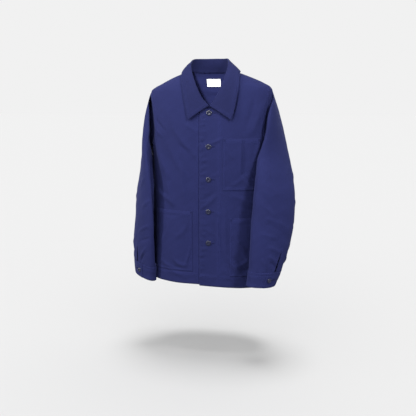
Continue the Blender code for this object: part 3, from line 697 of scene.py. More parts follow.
# In millimetres: from x and drop, to x and drop, bow aside, width, height.
BACK_CREASES = MM * np.array([
    # from the shoulder blades towards each armhole
    (70, 110, 162, 200, 6, 9, 4.6),
    (96, 108, 180, 164, 4, 7, -2.1),
    (50, 170, 150, 260, 8, 11, 2.9),
    (-78, 118, -172, 208, -6, 9, 4.8),
    (-102, 112, -188, 176, -4, 7, -2.2),
    (-42, 186, -148, 286, -7, 11, 2.7),
    # across the neck, under the collar
    (-64, 56, 60, 62, 8, 8, -1.9),
    (-46, 78, 52, 76, 6, 9, 1.9),
    # the waist
    (170, 360, 60, 426, 6, 10, 5),
    (178, 386, 88, 450, 5, 8, -2.4),
    (150, 440, 40, 470, -6, 11, 2.6),
    (-176, 370, -54, 438, -7, 10, 5),
    (-188, 402, -96, 452, -5, 8, -2.6),
    (-18, 330, 6, 480, 6, 12, 2.2),
    (24, 390, 16, 560, -4, 9, -1.9),
    # hollows and rolls down to the hem
    (-30, 500, -42, 720, 5, 11, 3.8),
    (-56, 530, -66, 720, 4, 8, -2.9),
    (52, 510, 60, 720, -4, 10, 3.5),
    (80, 560, 90, 720, -3, 8, -2.6),
    (136, 540, 140, 720, 4, 10, 3.2),
    (-130, 560, -136, 720, 3, 10, 3.2),
])


def back_neck(share):
    """(turn, drop) on the back neckline, from the side neck to the centre back."""
    turn = -90.0 * np.asarray(share, float)
    return turn, BACK_NECK * np.sin(np.radians(turn)) ** 2


def back_half(side):
    low = np.linspace(HEM_BACK, ARMPIT, SIDE_ROWS + 1)
    high = np.linspace(ARMPIT, BACK_NECK, ARMHOLE_ROWS - BACK_NECK_ROWS + 1)
    centre = joined((0 * low - 90, low), (0 * high - 90, high))
    centre = joined(centre, back_neck(np.linspace(1, 0, BACK_NECK_ROWS + 1)))
    turns, drops = ruled(centre, outside_edge(side, behind=True))
    plain, normals, from_seam, from_hem = panel(side, turns, drops)
    relief = creases(BACK_CREASES, plain[..., 0], drops) + slack(plain, BACK_SLACK)
    relief = (relief + felled(from_seam)) * ease(from_seam, 0.0, SEAM_FADE)
    outer = plain + relief[..., None] * normals - FORWARD
    inner = outer - (CLOTH + FOLDED_IN * folded_in(from_hem, HEM_DEPTH))[..., None] * normals
    for distance in TWIN_ROWS:
        along_edge(outer, normals, "right", distance)
        along_edge(outer, normals, "last", distance, *SHOULDER_SEWN)
    along_edge(outer, normals, "first", HEM_DEPTH)
    rows = row_distances(from_seam, from_hem - HEM_DEPTH, NO_ROW)
    flat = lengths(outer)
    flat[..., 0] *= side
    return [outer, inner, flat, rows]


left_half, right_half = back_half(1), back_half(-1)
below_neck = slice(0, SIDE_ROWS + ARMHOLE_ROWS - BACK_NECK_ROWS + 1)
for i in (0, 1):  # both halves have the same centre line
    right_half[i][below_neck, 0] = left_half[i][below_neck, 0]
right_half = [grid[:, ::-1] for grid in right_half]
back = sew("back_cloth", [left_half, right_half], cotton)
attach(back, "root")
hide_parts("back")

# ---------------------------------------------------------------------------------------------
# Pockets. Three patches, their edges turned under and sewn down with two rows, their mouths
# turned to the inside and stitched. The chest pocket has a narrow place for a pen.
# ---------------------------------------------------------------------------------------------

SEAT = 0.0002
POCKET_CLOTH = 0.0006
POCKET_CELLS = (66, 78)
MOUTH_ROW = 0.0110
MOUTH_SLACK = 0.35
POUCH_ROUND, POUCH_FOOT = 0.8, 8
SEWN_DOWN = 0.07  # the share at the sides and foot over which a pocket's creases start
POCKET_FELL = 0.15  # how high its turned edges stand, as a share of a felled seam
# Side, inner and outer edge from the centre front, top and bottom drop, how far it is full.
POCKETS = {
    "chest_pocket": (1, 0.048, 0.166, 0.219, 0.390, 0.0022),
    "lower_pocket_left": (1, 0.072, 0.186, 0.484, 0.688, 0.0040),
    "lower_pocket_right": (-1, 0.055, 0.190, 0.463, 0.676, 0.0045),
}
# From a share across and down, to a share across and down, bow, width, height.
POCKET_CREASES = {
    "chest_pocket": [
        (0.62, 0.70, 1.00, 0.92, 0.00, 0.030, 0.0016),
        (0.70, 0.62, 1.00, 0.80, 0.00, 0.026, -0.0012),
        (0.05, 0.12, 0.30, 0.40, 0.02, 0.040, 0.0012),
        (0.20, 0.90, 0.60, 0.72, 0.03, 0.040, 0.0010),
        (0.49, 0.00, 0.49, 0.74, 0.00, 0.050, 0.0012),
        (0.64, 0.02, 0.64, 0.72, 0.00, 0.070, -0.0020),
    ],
    "lower_pocket_left": [
        (0.06, 0.20, 0.50, 0.55, 0.04, 0.050, 0.0021),
        (0.10, 0.84, 0.66, 0.62, 0.05, 0.045, 0.0021),
        (0.30, 0.92, 0.84, 0.74, 0.03, 0.034, -0.0016),
        (0.56, 0.10, 0.92, 0.36, 0.03, 0.045, 0.0018),
    ],
    "lower_pocket_right": [
        (0.12, 0.90, 0.52, 0.80, 0.04, 0.036, 0.0033),
        (0.20, 0.97, 0.60, 0.90, 0.02, 0.024, -0.0021),
        (0.42, 0.94, 0.90, 0.84, 0.04, 0.034, 0.0027),
        (0.06, 0.56, 0.22, 0.92, 0.03, 0.036, 0.0024),
        (0.10, 0.16, 0.46, 0.44, 0.05, 0.050, 0.0018),
        (0.60, 0.20, 0.92, 0.60, 0.04, 0.050, 0.0021),
        (0.24, 0.05, 0.78, 0.07, 0.02, 0.026, -0.0012),
    ],
}
PEN_ROWS = (0.540, 0.590)  # shares across the chest pocket
PEN_FOOT, PEN_WIDE = 0.70, 0.80
PEN_PULL, PEN_PULL_WIDE = 0.75, 0.030  # how far the rows hold the pouch down


def pocket_face(name, u, v, lift=0.0):
    """Points and outward vectors on a pocket, at shares across and down it."""
    side, inner, outer, top, bottom, pouch = POCKETS[name]
    drops = top + (bottom - top) * v
    turns = turn_at(side, inner + (outer - inner) * u, drops)
    full = MOUTH_SLACK + (1 - MOUTH_SLACK) * np.sin(np.pi * v**POUCH_ROUND)
    full = pouch * np.sin(np.pi * u) ** POUCH_ROUND * full * (1 - v**POUCH_FOOT)
    sewn_down = np.clip(np.minimum(np.minimum(u, 1 - u), 1 - v) / SEWN_DOWN, 0.0, 1.0)
    relief = creases(POCKET_CREASES[name], u, v) * sewn_down
    if name == "chest_pocket":
        rows = sum(np.exp(-(((u - at) / PEN_PULL_WIDE) ** 2)) for at in PEN_ROWS)
        full = full * (1 - PEN_PULL * np.clip(rows * (v < PEN_FOOT), 0.0, 1.0))
    lift = lift + front_lift(side, turns, drops) + SEAT + full + relief
    lift = lift + front_relief(side, turns, drops)
    normals = body_normal(side, turns, drops)
    return body_surface(side, turns, drops) + lift[..., None] * normals, normals


def spread(places, count):
    """Points evenly along a line through places, one array for each coordinate."""
    share, knots = np.linspace(0, 1, count), np.linspace(0, 1, len(places))
    return [np.interp(share, knots, run) for run in np.array(places, float).T]


def pocket_row(name, places):
    points, normals = pocket_face(name, *spread(places, 40), POCKET_CLOTH)
    stitched.append((points + FORWARD, normals))


for name, (side, inner, outer, top, bottom, pouch) in POCKETS.items():
    u, v = np.meshgrid(*(np.linspace(0, 1, count + 1) for count in POCKET_CELLS))
    under, normals = pocket_face(name, u, v)
    under = under + FORWARD
    over = under + POCKET_CLOTH * normals
    from_seam = distance_to(over, over[::3, 0], over[::3, -1], over[-1, ::3])
    from_mouth = distance_to(over, over[0, ::3])
    over = over + (felled(from_seam) * POCKET_FELL)[..., None] * normals
    rows = row_distances(from_seam, from_mouth - MOUTH_ROW, NO_ROW)
    piece = sew(f"{name}_cloth", [(over, under, lengths(over), rows)], cotton)
    for distance in TWIN_ROWS:
        along_edge(over, normals, "left", distance, 0.0, 0.99)
        along_edge(over, normals, "right", distance, 0.0, 0.99)
        along_edge(over, normals, "last", distance, 0.015, 0.985)
    along_edge(over, normals, "first", MOUTH_ROW, 0.01, 0.99)
    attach(piece, "root")
    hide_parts(name)

for across in PEN_ROWS:
    pocket_row("chest_pocket", [(across, 0.01), (across, PEN_FOOT)])
pocket_row("chest_pocket", [(PEN_ROWS[0], PEN_FOOT), (PEN_WIDE, PEN_FOOT)])

# ---------------------------------------------------------------------------------------------
# Collar. One strip, sewn to the neckline, that stands up, rolls over and falls to two points in
# front. Its edge is turned and stitched, and its stand is stitched inside along the neck.
# ---------------------------------------------------------------------------------------------

COLLAR_CLOTH = 0.0014
COLLAR_STATIONS = (72, 96)  # behind the side neck and before it
STAND_CELLS, ROLL_CELLS, FALL_CELLS = 10, 10, 26
COLLAR_ROW = 0.0055
STAND_ROW = 0.0025
FOOT_TUCK = 0.0030  # how far the foot goes down inside the back neck edge
TUCK_IN, TUCK_ENDS = 0.8, (0.30, 0.50)
COLLAR_SIDE = 0.53
COLLAR_ASIDE = -0.0105
EDGE_ASIDE = 0.45
COLLAR_ROLL = 0.0028
COLLAR_BULGE, BULGE_UP = 0.0026, 0.35
COLLAR_CLEAR = 0.0034
COLLAR_SLACK = 0.0006
RIGHT_LEAF_IN, RIGHT_LEAF_FROM = 0.0070, 0.50
LEFT_TIP_UP, LEFT_TIP_UP_FROM = 0.0034, 0.62
LEFT_TIP_OUT, LEFT_TIP_OUT_FROM = 0.0040, 0.75
# painted shade: the collar's cotton is a darker copy of the navy, for the shade its leaves lie in
COLLAR_SHADE_NAVY = (0.0044, 0.0056, 0.0262)
# Share from centre back to centre front, then in millimetres the roll line's x, y and z, and the
# edge's x, drop and lift.
COLLAR = np.array([
    (0.00, 0, 54, 42.5, 0, 10, 8),
    (0.15, 29, 51, 42.5, 35, 10.5, 8),
    (0.30, 52, 37, 42, 67, 11.5, 7),
    (0.42, 60, 18, 37.2, 86, 9.8, 6.6),
    (0.53, 62, -3, 26.5, 97, 8, 6.6),
    (0.64, 60, -25, 9, 98, 40, 5.2),
    (0.75, 53, -46, -16, 93, 75, 4.2),
    (0.86, 34, -70, -64.5, 84, 115, 4.6),
    (0.93, 20, -77, -90.5, 77, 137, 5.4),
    (1.00, 1.5, -82.5, -113.5, 68, 160, 6.4),
]) * ([1] + 6 * [MM])


def square_to(vectors, axis):
    return vectors - axis * (vectors * axis).sum(-1, keepdims=True)


def off_body(side, points):
    """The same points, with any that lie too near the fronts brought forward."""
    x, y, z = points.T
    share = np.clip(np.abs(x) / half_width(side, -z), 0.0, 1.0)
    surface = -read(BODY, FRONT, -z) * (1 - share**SQUARENESS) ** (1 / SQUARENESS)
    over_body = (y < 0) & (share < 1) & (z < 0)
    nearest = np.where(over_body, surface - COLLAR_CLEAR, y)
    return np.stack([x, np.minimum(y, nearest), z], -1)


def collar_half(side):
    """A grid of points on the collar's face: stand, roll and fall, at stations along the neck."""
    behind, ahead = COLLAR_STATIONS
    shares = np.concatenate(
        [np.linspace(0, COLLAR_SIDE, behind + 1)[:-1], np.linspace(COLLAR_SIDE, 1, ahead + 1)]
    )
    aside = COLLAR_ASIDE * np.clip((1 - shares) / (1 - COLLAR_SIDE), 0.0, 1.0)
    roll = np.stack([read(COLLAR, i, shares) for i in (1, 2, 3)], -1)
    edge_x, edge_drop, edge_lift = (read(COLLAR, i, shares) for i in (4, 5, 6))
    at_back = shares < COLLAR_SIDE
    if side < 0:
        share = np.clip((shares - RIGHT_LEAF_FROM) / (1 - RIGHT_LEAF_FROM), 0.0, 1.0)
        edge_x = edge_x - RIGHT_LEAF_IN * np.sin(np.pi * share)
    else:
        edge_lift = edge_lift + LEFT_TIP_UP * ease(shares, LEFT_TIP_UP_FROM, 1.0)
        edge_x = edge_x + LEFT_TIP_OUT * ease(shares, LEFT_TIP_OUT_FROM, 1.0)
    edge_turn = turn_at(side, edge_x + side * EDGE_ASIDE * aside, edge_drop)
    edge = body_point(side, np.where(at_back, -edge_turn, edge_turn), edge_drop, edge_lift)
    back_turn, back_drop = back_neck(1 - np.clip(shares / COLLAR_SIDE, 0.0, 1.0))
    share = np.clip((shares - COLLAR_SIDE) / (1 - COLLAR_SIDE), 0.0, 1.0)
    front_turn, front_drop = front_neck(side, share)
    turns = np.where(at_back, back_turn, front_turn)
    drops = np.where(at_back, back_drop, front_drop)
    lift = np.where(at_back, 0.0, front_lift(side, turns, drops))
    seat = body_point(side, turns, drops, lift)
    roll[:, 0] = side * roll[:, 0] + aside
    seat += SEAM * unit(roll - seat)
    inward = TUCK_IN * unit(seat * LEVEL) + np.array([0.0, 0.0, 1.0])
    seat -= FOOT_TUCK * (1 - ease(shares, *TUCK_ENDS))[:, None] * inward
    along = unit(np.gradient(roll, axis=0))
    down = unit(unit(square_to(seat - roll, along)) + unit(square_to(edge - roll, along)))
    over = unit(square_to(square_to(edge - seat, along), down))
    centre = roll + COLLAR_ROLL * down
    foot = centre - COLLAR_ROLL * over - seat
    rows = [seat + foot * s for s in np.linspace(0, 1, STAND_CELLS + 1)[:-1]]
    for angle in np.radians(np.linspace(-90, 90, ROLL_CELLS + 1)):
        rows.append(centre + COLLAR_ROLL * (over * np.sin(angle) - down * np.cos(angle)))
    start = rows.pop()
    bulge = COLLAR_BULGE * unit(over + np.array([0.0, 0.0, BULGE_UP]))
    for s in np.linspace(0, 1, FALL_CELLS + 1):
        rows.append(off_body(side, start + (edge - start) * s + bulge * 4 * s * (1 - s)))
    return np.array(rows).transpose(1, 0, 2)


def grid_normals(grid, up_at):
    """Outward vectors over a grid, taking them to point up at one of its rows."""
    normals = unit(np.cross(np.gradient(grid, axis=0), np.gradient(grid, axis=1)))
    return normals * np.sign(normals[:, up_at, 2].mean())


collar_face = np.concatenate([collar_half(-1)[:0:-1], collar_half(1)])
collar_out = grid_normals(collar_face, STAND_CELLS + ROLL_CELLS // 2)
collar_face = collar_face + slack(collar_face, COLLAR_SLACK)[..., None] * collar_out
ends = collar_face[[0, -1], STAND_CELLS + ROLL_CELLS :: 3]
from_edge = distance_to(collar_face, collar_face[::3, -1], *ends)
from_neck = distance_to(collar_face, collar_face[::3, 0])
rows = row_distances(NO_ROW, from_edge - COLLAR_ROW, from_neck - STAND_ROW)
inner = collar_face - COLLAR_CLOTH * collar_out
# the collar takes the darker copy of the cotton, with its shade painted in
shaded_collar_cotton = woven_cotton("shaded_collar_cotton", COLLAR_SHADE_NAVY)
collar = sew("collar_cloth", [(collar_face, inner, lengths(collar_face), rows)], shaded_collar_cotton)
along_edge(collar_face, collar_out, "right", COLLAR_ROW, 0.012, 0.988)
along_edge(collar_face, collar_out, "left", STAND_ROW, 0.01, 0.99)
for edge in ("first", "last"):
    along_edge(collar_face, collar_out, edge, COLLAR_ROW, 0.45, 0.93)
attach(collar, "root")
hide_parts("collar")

# ---------------------------------------------------------------------------------------------
# Sleeves. Each is one piece, set into its armhole and closed by a seam at the back of the arm,
# with a slit above the cuff. They hang a little bent, and crease at the elbow.
# ---------------------------------------------------------------------------------------------

SLEEVE_SIDES = 156
HEAD_RINGS, SLEEVE_RINGS = 40, 104
HEAD_SPACING = 1.5  # the rings lie closer together near the armhole
HEAD_START = 1.5 * SEAM
HEAD_OUT, HEAD_OUT_LOST, HEAD_DOWN, HEAD_TURNED = 0.80, 0.42, 0.45, 0.25
HEAD_FORWARD = {1: 0.85, -1: -0.25}
SLEEVE_PHASE = 76
SLEEVE_CLEAR = 0.0042
SLEEVE_SLACK = 0.0010
GATHERS, GATHER_HEIGHT = 26, 0.0007  # small ripples where the head is eased into the armhole
CUFF_TOP = {1: 0.648, -1: 0.666}
CUFF_TILT = {1: 0.0, -1: 0.20}
TILT_FROM, TILT_RUN = 0.50, 0.10
SLEEVE_TUCK = 0.010  # how far the sleeve goes down inside its cuff
VENT = 0.068  # the slit's length
VENT_GAPE = {1: 0.0080, -1: 0.0110}
VENT_ROUND = 0.6
VENT_ROW = 0.0040
SIDE_STEP = 360 / 26
VENT_ANGLE = {1: -SIDE_STEP, -1: 13.0}

# Ovals down each sleeve: drop, x and y of the middle, long and short radius in millimetres, and
# the turn of the long one.
OVAL_UNITS = 5 * [MM] + [1]
SLEEVES = {
    1: np.array([
        (290, 211, -40, 69, 32, -46),
        (340, 215, -59, 73, 35, -40),
        (400, 218, -77, 75, 38, -32),
        (480, 216, -92, 75, 38, -26),
        (560, 209, -106, 69, 37, -22),
        (640, 196, -119, 57, 33, -17),
        (702, 181, -128, 47, 29, -14),
    ]) * OVAL_UNITS,
    -1: np.array([
        (290, 229, -6, 75, 22, -78),
        (340, 230, -15, 77, 25, -71),
        (420, 231, -25, 75, 30, -60),
        (500, 233, -30, 72, 32, -54),
        (600, 240, -31, 67, 31, -49),
        (680, 241, -32, 61, 29, -46),
        (730, 239, -36, 53, 27, -44),
    ]) * OVAL_UNITS,
}

# Broad folds: side, drop, angle round the oval, fall per degree, reach in degrees, width, height.
# The lengths are in millimetres.
SLEEVE_FOLDS = np.array([
    (1, 455, 58, -0.5, 34, 20, 2.2),
    (1, 505, 66, -0.6, 30, 18, 2),
    (1, 560, 48, -0.4, 30, 18, 2.4),
    (1, 350, 250, 0.5, 40, 20, -5),
    (1, 430, 320, 0.4, 36, 18, 4),
    (1, 490, 250, 0.4, 40, 18, 4),
    (-1, 420, 44, -0.4, 34, 24, 1.8),
    (-1, 480, 330, 0.5, 34, 30, 1.8),
    (-1, 545, 300, 0.5, 34, 34, 1.4),
    (-1, 585, 30, -0.5, 34, 30, 1.2),
    (-1, 340, 300, 0.5, 40, 20, 3.6),
    (-1, 470, 283, 0, 26, 210, 11),
]) * (1, MM, 1, MM, 1, MM, MM)

# The slot beside the front of the armhole: how far back it goes, its near and far walls' reach
# from the armhole, and the angles between which it opens and closes.
SLOT = {
    1: (0.022, (0.000, 0.006), (0.009, 0.019), (8, 40), (95, 140)),
    -1: (0.044, (0.000, 0.005), (0.0160, 0.0215), (22, 50), (176, 186)),
}
SLOT_UNDERCUT = 0.28
SLOT_LIMIT = 1.5  # how deep it may go, as a share of the armhole's own distance forward

# The right sleeve's inner side falls back from a pressed edge: drop and angle of the edge, then how
# far back, over which angle, the angles between which it comes out again, and where it starts.
PRESSED_EDGE = np.array([
    (0.25, 150), (0.29, 132), (0.32, 122), (0.36, 110), (0.40, 100), (0.45, 96),
    (0.50, 97), (0.55, 101), (0.60, 110), (0.65, 113), (0.73, 114),
])
PRESSED, PRESSED_OVER, PRESSED_OUT, PRESSED_START = 0.0150, 26, (150, 180), (0.262, 0.330)

# Creases, in millimetres: from angle and drop, to angle and drop, bow, width, height. A degree
# counts as one millimetre.
SLEEVE_CREASES = {
    1: [
        (165, 290, 156, 640, -4, 3.4, 2.6),  # pressed edge
        (146, 352, 96, 400, 4, 7, 1.5),
        (152, 386, 104, 452, 5, 7, -1.4),
        (150, 420, 92, 476, 6, 6.6, 1.7),
        (128, 468, 66, 500, 4, 6, 1.8),
        (118, 486, 74, 520, 3, 5, -1.6),
        (136, 520, 80, 540, 4, 6.6, 1.8),
        (110, 560, 60, 590, 3, 5.6, 2.6),
        (100, 590, 62, 628, 3, 4.4, 4.1),
        (92, 612, 58, 642, 2, 3.6, -3.7),
        (120, 600, 96, 640, 2, 4.4, 2.7),
        (158, 300, 120, 340, 3, 7, 2.4),
        (30, 420, -6, 450, 5, 7, 2.2),
        (26, 500, -8, 512, 4, 6, -2),
        (-70, 400, -120, 440, 4, 7, 3.1),
        (-110, 560, -70, 600, 4, 6, 3.1),
        (-120, 500, -160, 540, 3, 6, 2.4),
        # crumpled round the slit
        (38, 560, 2, 606, 3, 4, -3.4),
        (48, 584, 6, 630, 3, 3.6, 3.6),
        (30, 600, 0, 640, -3, 3.4, -3.6),
        (-26, 586, -24, 664, 2, 8, -7),
        (-17, 604, -36, 586, 2, 3.4, -4.2),
        (-17, 636, -38, 612, 2, 3.4, 4),
        (-18, 656, -40, 640, 2, 3, -3.6),
        (40, 330, 0, 366, 4, 8, 1.8),
    ],
    -1: [
        (150, 350, 110, 392, 4, 6, 2.4),
        (168, 430, 116, 462, 4, 6, 2.7),
        (150, 520, 96, 556, 4, 5.6, 2.7),
        (160, 566, 104, 586, 3, 5, -2.2),
        (140, 600, 106, 650, 3, 4.6, 3.1),
        (128, 626, 108, 664, 2, 4, -3.1),
        # crumpled round the slit
        (20, 604, 19.5, 652, 1, 2.4, -3.6),
        (34, 604, 56, 648, 3, 4, -3),
        (40, 588, 76, 640, -3, 4, 3.4),
        (38, 630, 70, 660, 2, 3.4, 3),
        (66, 424, 30, 452, 4, 7, 2),
        (-96, 480, -136, 500, 4, 7, -3.1),
        (-98, 520, -144, 560, 4, 7, 3.4),
        (90, 566, 48, 600, 4, 6, 2.4),
        (-90, 360, -130, 420, 4, 8, 2.7),
        (-140, 600, -94, 640, 3, 6, 2.7),
        (70, 310, 20, 360, 4, 8, 2.4),
    ],
}


def clear_of_body(side, points, gap):
    """The same points, with any that lie nearer the body surface than the gap moved out to it."""
    x, y, z = np.moveaxis(points, -1, 0)
    width = half_width(side, -z) + gap
    depth = np.where(y < 0, read(BODY, FRONT, -z), read(BODY, BEHIND, -z)) + gap
    inside = (np.abs(x) / width) ** SQUARENESS + (np.abs(y) / depth) ** SQUARENESS
    out = np.clip(inside, 1e-9, 1.0) ** (-1 / SQUARENESS)
    return np.stack([x * out, y * out, z], -1)


def turned_from(around, angle):
    return (around - angle + 180) % 360 - 180


def sleeve_ring(side, drop, angles, grow=0.0):
    """Points round the sleeve at a drop. Angle 0 is outside, 90 in front, 180 inside."""
    x, y, long, short, turn = (read(SLEEVES[side], i, drop) for i in range(1, 6))
    lean = np.radians(turn)
    around = np.asarray(angles) + SLEEVE_PHASE
    for of_side, at, angle, slope, reach, width, rise in SLEEVE_FOLDS:
        if of_side == side:
            turned = turned_from(around, angle)
            off = (drop - at - slope * turned) / width
            grow = grow + rise * np.exp(-(off**2) - (turned / reach) ** 2)
    out = (long + grow) * np.cos(np.radians(around))
    forward = (short + grow) * np.sin(np.radians(around))
    px = x + out * np.cos(lean) - forward * np.sin(lean)
    py = y - out * np.sin(lean) - forward * np.cos(lean)
    tilt = CUFF_TILT[side] * np.clip((drop - TILT_FROM) / TILT_RUN, 0.0, 1.0)
    points = np.stack([side * px, py, -drop + tilt * (px - x)], -1)
    return clear_of_body(side, points, SLEEVE_CLEAR - grow)


def sleeve_head(side, angles):
    """Rings from the armhole, which the cloth leaves outwards, to the first of the sleeve's own."""
    start = []
    for angle in angles % 360:
        behind = angle > 180
        start.append(body_surface(side, *armhole(side, angle, behind)))
    start = np.array(start)
    first = SLEEVES[side][0, 0]
    end = sleeve_ring(side, first, angles)
    leave_end = unit(sleeve_ring(side, first + 0.004, angles) - end)
    forward = np.sin(np.radians(angles))
    over = np.clip(np.cos(np.radians(angles)), 0.0, 1.0)
    out = HEAD_OUT - HEAD_OUT_LOST * over
    out -= HEAD_TURNED * np.clip(forward, 0.0, 1.0) * HEAD_FORWARD[side]
    leave = np.stack([side * out, -HEAD_FORWARD[side] * forward, -HEAD_DOWN * (1 + over)], -1)
    leave = unit(leave)
    chord = np.linalg.norm(end - start, axis=1, keepdims=True)
    rings = []
    for s in np.linspace(0, 1, HEAD_RINGS + 1)[:-1] ** HEAD_SPACING:
        along = leave * s * (1 - s) ** 2 - leave_end * s**2 * (1 - s)
        ring = start * (1 + 2 * s) * (1 - s) ** 2 + end * s**2 * (3 - 2 * s) + chord * along
        rings.append(clear_of_body(side, ring, SLEEVE_CLEAR * s))
    rings[0] = rings[0] + HEAD_START * leave
    return rings


def tube_normals(rings):
    """Unit vectors out of a tube whose last point of each ring is its first again."""
    wrapped = np.concatenate([rings[:, -2:-1], rings, rings[:, 1:2]], axis=1)
    normals = unit(np.cross(np.gradient(rings, axis=0), np.gradient(wrapped, axis=1)[:, 1:-1]))
    outward = rings - rings.mean(axis=1, keepdims=True)
    return normals * np.sign((normals * outward).sum(-1).mean())


def sleeve(side):
    angles = VENT_ANGLE[side] + np.linspace(0, 360, SLEEVE_SIDES + 1)
    drops = np.linspace(SLEEVES[side][0, 0], CUFF_TOP[side] + SLEEVE_TUCK, SLEEVE_RINGS + 1)
    rings = sleeve_head(side, angles) + [sleeve_ring(side, drop, angles) for drop in drops]
    rings = np.array(rings)
    outward = tube_normals(rings)
    drop = -rings[..., 2]
    from_armhole = distance_to(rings, rings[0, ::2])

    # creases, and the fall from the pressed edge
    relief = slack(rings, SLEEVE_SLACK)
    if side < 0:
        past = angles[None, :] - read(PRESSED_EDGE, 1, drop)
        fall = PRESSED * ease(past, 0, PRESSED_OVER) * (1 - ease(angles, *PRESSED_OUT))[None, :]
        relief = relief - fall * ease(drop, *PRESSED_START)
    around = (angles + SLEEVE_PHASE)[None, :]
    for angle, start, to_angle, end, *shape in SLEEVE_CREASES[side]:
        row = MM * np.array((0, start, to_angle - angle, end, *shape))
        relief = relief + creases([row], turned_from(around, angle) * MM, drop)
    gathers = np.sin(np.radians(angles * GATHERS)) * np.clip(np.cos(np.radians(angles)), 0.0, 1.0)
    gathers = gathers * ease(from_armhole, 0.0, 0.006) * (1 - ease(from_armhole, 0.010, 0.030))
    steady = ease(np.abs(turned_from(angles, VENT_ANGLE[side]))[None, :], 0.0, 8.0)
    relief = relief * ease(from_armhole, 0.0, SEAM_FADE) * steady + GATHER_HEIGHT * gathers
    relief = relief * (1 - ease(drop, CUFF_TOP[side] - SLEEVE_TUCK, CUFF_TOP[side]))
    rings = rings + relief[..., None] * outward

    # the slot beside the armhole
    depth, near, far, opens, closes = SLOT[side]
    turned = angles % 360
    depths = depth * ease(turned, *opens) * (1 - ease(turned, *closes))
    depths = np.minimum(depths, -SLOT_LIMIT * np.minimum(rings[0, :, 1], 0.0))
    depths = depths * ease(from_armhole, *near) * (1 - ease(from_armhole, *far))
    rings = rings + depths[..., None] * np.array([side * SLOT_UNDERCUT, 1.0, 0.0])
    rings[:, -1] = rings[:, 0]
    outward[:, -1] = outward[:, 0]

    # the slit above the cuff
    below = -rings[:, 0, 2] - (CUFF_TOP[side] - VENT)
    open_share = np.clip(below / VENT, 0.0, 1.0) ** VENT_ROUND
    aside = unit(rings[:, 2] - rings[:, 0]) * VENT_GAPE[side] / 2 * open_share[:, None]
    rings[:, 0] += aside
    rings[:, -1] -= aside
    slit = rings[:, 0][open_share > 0]
    from_slit = distance_to(rings, slit[::2])

    rows = row_distances(from_armhole, from_slit - VENT_ROW, NO_ROW)
    word = SIDES[side]
    inner = rings - CLOTH * outward
    piece = sew(f"sleeve_{word}_cloth", [(rings, inner, lengths(rings), rows)], cotton)
    start = 1 - (len(slit) - 2) / (len(rings) - 1)
    along_edge(rings, outward, "left", VENT_ROW, start, 1.0)
    along_edge(rings, outward, "right", VENT_ROW, start, 1.0)
    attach(piece, "root")
    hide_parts(f"sleeve_{word}")


for side in SIDES:
    sleeve(side)

# ---------------------------------------------------------------------------------------------
# Cuffs. A stiffened band of doubled cotton round each sleeve's end. One end laps over the other
# at the slit and is buttoned there.
# ---------------------------------------------------------------------------------------------

CUFF_CLOTH, CUFF_DEPTH = 0.0014, 0.050
CUFF_LAP = 2 * SIDE_STEP
CUFF_RISE = 3.2 * SIDE_STEP
CUFF_CELLS = (180, 22)
CUFF_ROWS = (0.0022, 0.0150)
CUFF_EDGE_ROW = 0.0050
CUFF_DENTS = ((1.6, 0.0007), (2.7, 0.0004))  # how close together, how high


def cuff_grow(angle):
    """How far the band's face lies off the sleeve's, at an angle from its inner end."""
    rise = np.clip((angle - 360 + CUFF_RISE) / (CUFF_RISE - 0.2 * SIDE_STEP), 0.0, 1.0)
    return CUFF_CLOTH + SEAT + (CUFF_CLOTH + SEAT) * rise**2 * (3 - 2 * rise)


def cuff_face(side, angle, drop, lift=0.0):
    points = sleeve_ring(side, drop, VENT_ANGLE[side] + angle, cuff_grow(angle) + lift)
    dents = sum(slack(points * near, height) for near, height in CUFF_DENTS)
    middle = points.mean(axis=-2, keepdims=True)
    return points + dents[..., None] * unit((points - middle) * LEVEL)


def cuff(side):
    angles = np.linspace(0, 360 + CUFF_LAP, CUFF_CELLS[0] + 1)
    drops = CUFF_TOP[side] + np.linspace(0, CUFF_DEPTH, CUFF_CELLS[1] + 1)
    outer, inner = (
        np.array([cuff_face(side, angles, drop, lift) for drop in drops])
        for lift in (0.0, -CUFF_CLOTH)
    )
    outward = unit(outer - inner)
    from_top, from_foot = (distance_to(outer, outer[i, ::3]) for i in (0, -1))
    from_twin = np.abs(from_top - np.mean(CUFF_ROWS)) - np.ptp(CUFF_ROWS) / 2
    rows = row_distances(NO_ROW, from_foot - CUFF_EDGE_ROW, from_twin)
    word = SIDES[side]
    piece = sew(f"cuff_{word}_cloth", [(outer, inner, lengths(outer), rows)], cotton)
    for distance in CUFF_ROWS:
        along_edge(outer, outward, "first", distance, 0.01, 0.985)
    along_edge(outer, outward, "last", CUFF_EDGE_ROW, 0.01, 0.985)
    along_edge(outer, outward, "right", CUFF_EDGE_ROW, 0.1, 0.9)
    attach(piece, "root")
    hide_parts(f"cuff_{word}")


for side in SIDES:
    cuff(side)

# ---------------------------------------------------------------------------------------------
# Label. A small bare tab of white woven satin at the inside of the back neck, sewn on all round
# before the collar closes over the seam.
# ---------------------------------------------------------------------------------------------

LABEL_SIZE = (0.0478, 0.0255)
LABEL_TOP, LABEL_ASIDE = 0.0235, -0.0065
LABEL_CLOTH, LABEL_SEAT = 0.0007, 0.0016
LABEL_SAG = 0.0004
LABEL_WHITE = (0.46, 0.46, 0.45)


def label_satin():
    made, tree, inputs = new_material("label_satin", {"Roughness": 0.55, "Sheen Weight": 0.15})
    flat = add_node(tree, "ShaderNodeUVMap", uv_map="cloth")
    ribs = add_node(tree, "ShaderNodeVectorMath", flat, (300.0, 3500.0, 1.0), operation="MULTIPLY")
    ribs = add_noise(tree, ribs, 1.0, 2.0, 0.5)
    add_shades(tree, ribs, (0.3, 0.7), LABEL_WHITE, (0.90, 1.0), inputs["Base Color"])
    tree.links.new(add_bump(tree, ribs, 0.00008), inputs["Normal"])
    return made


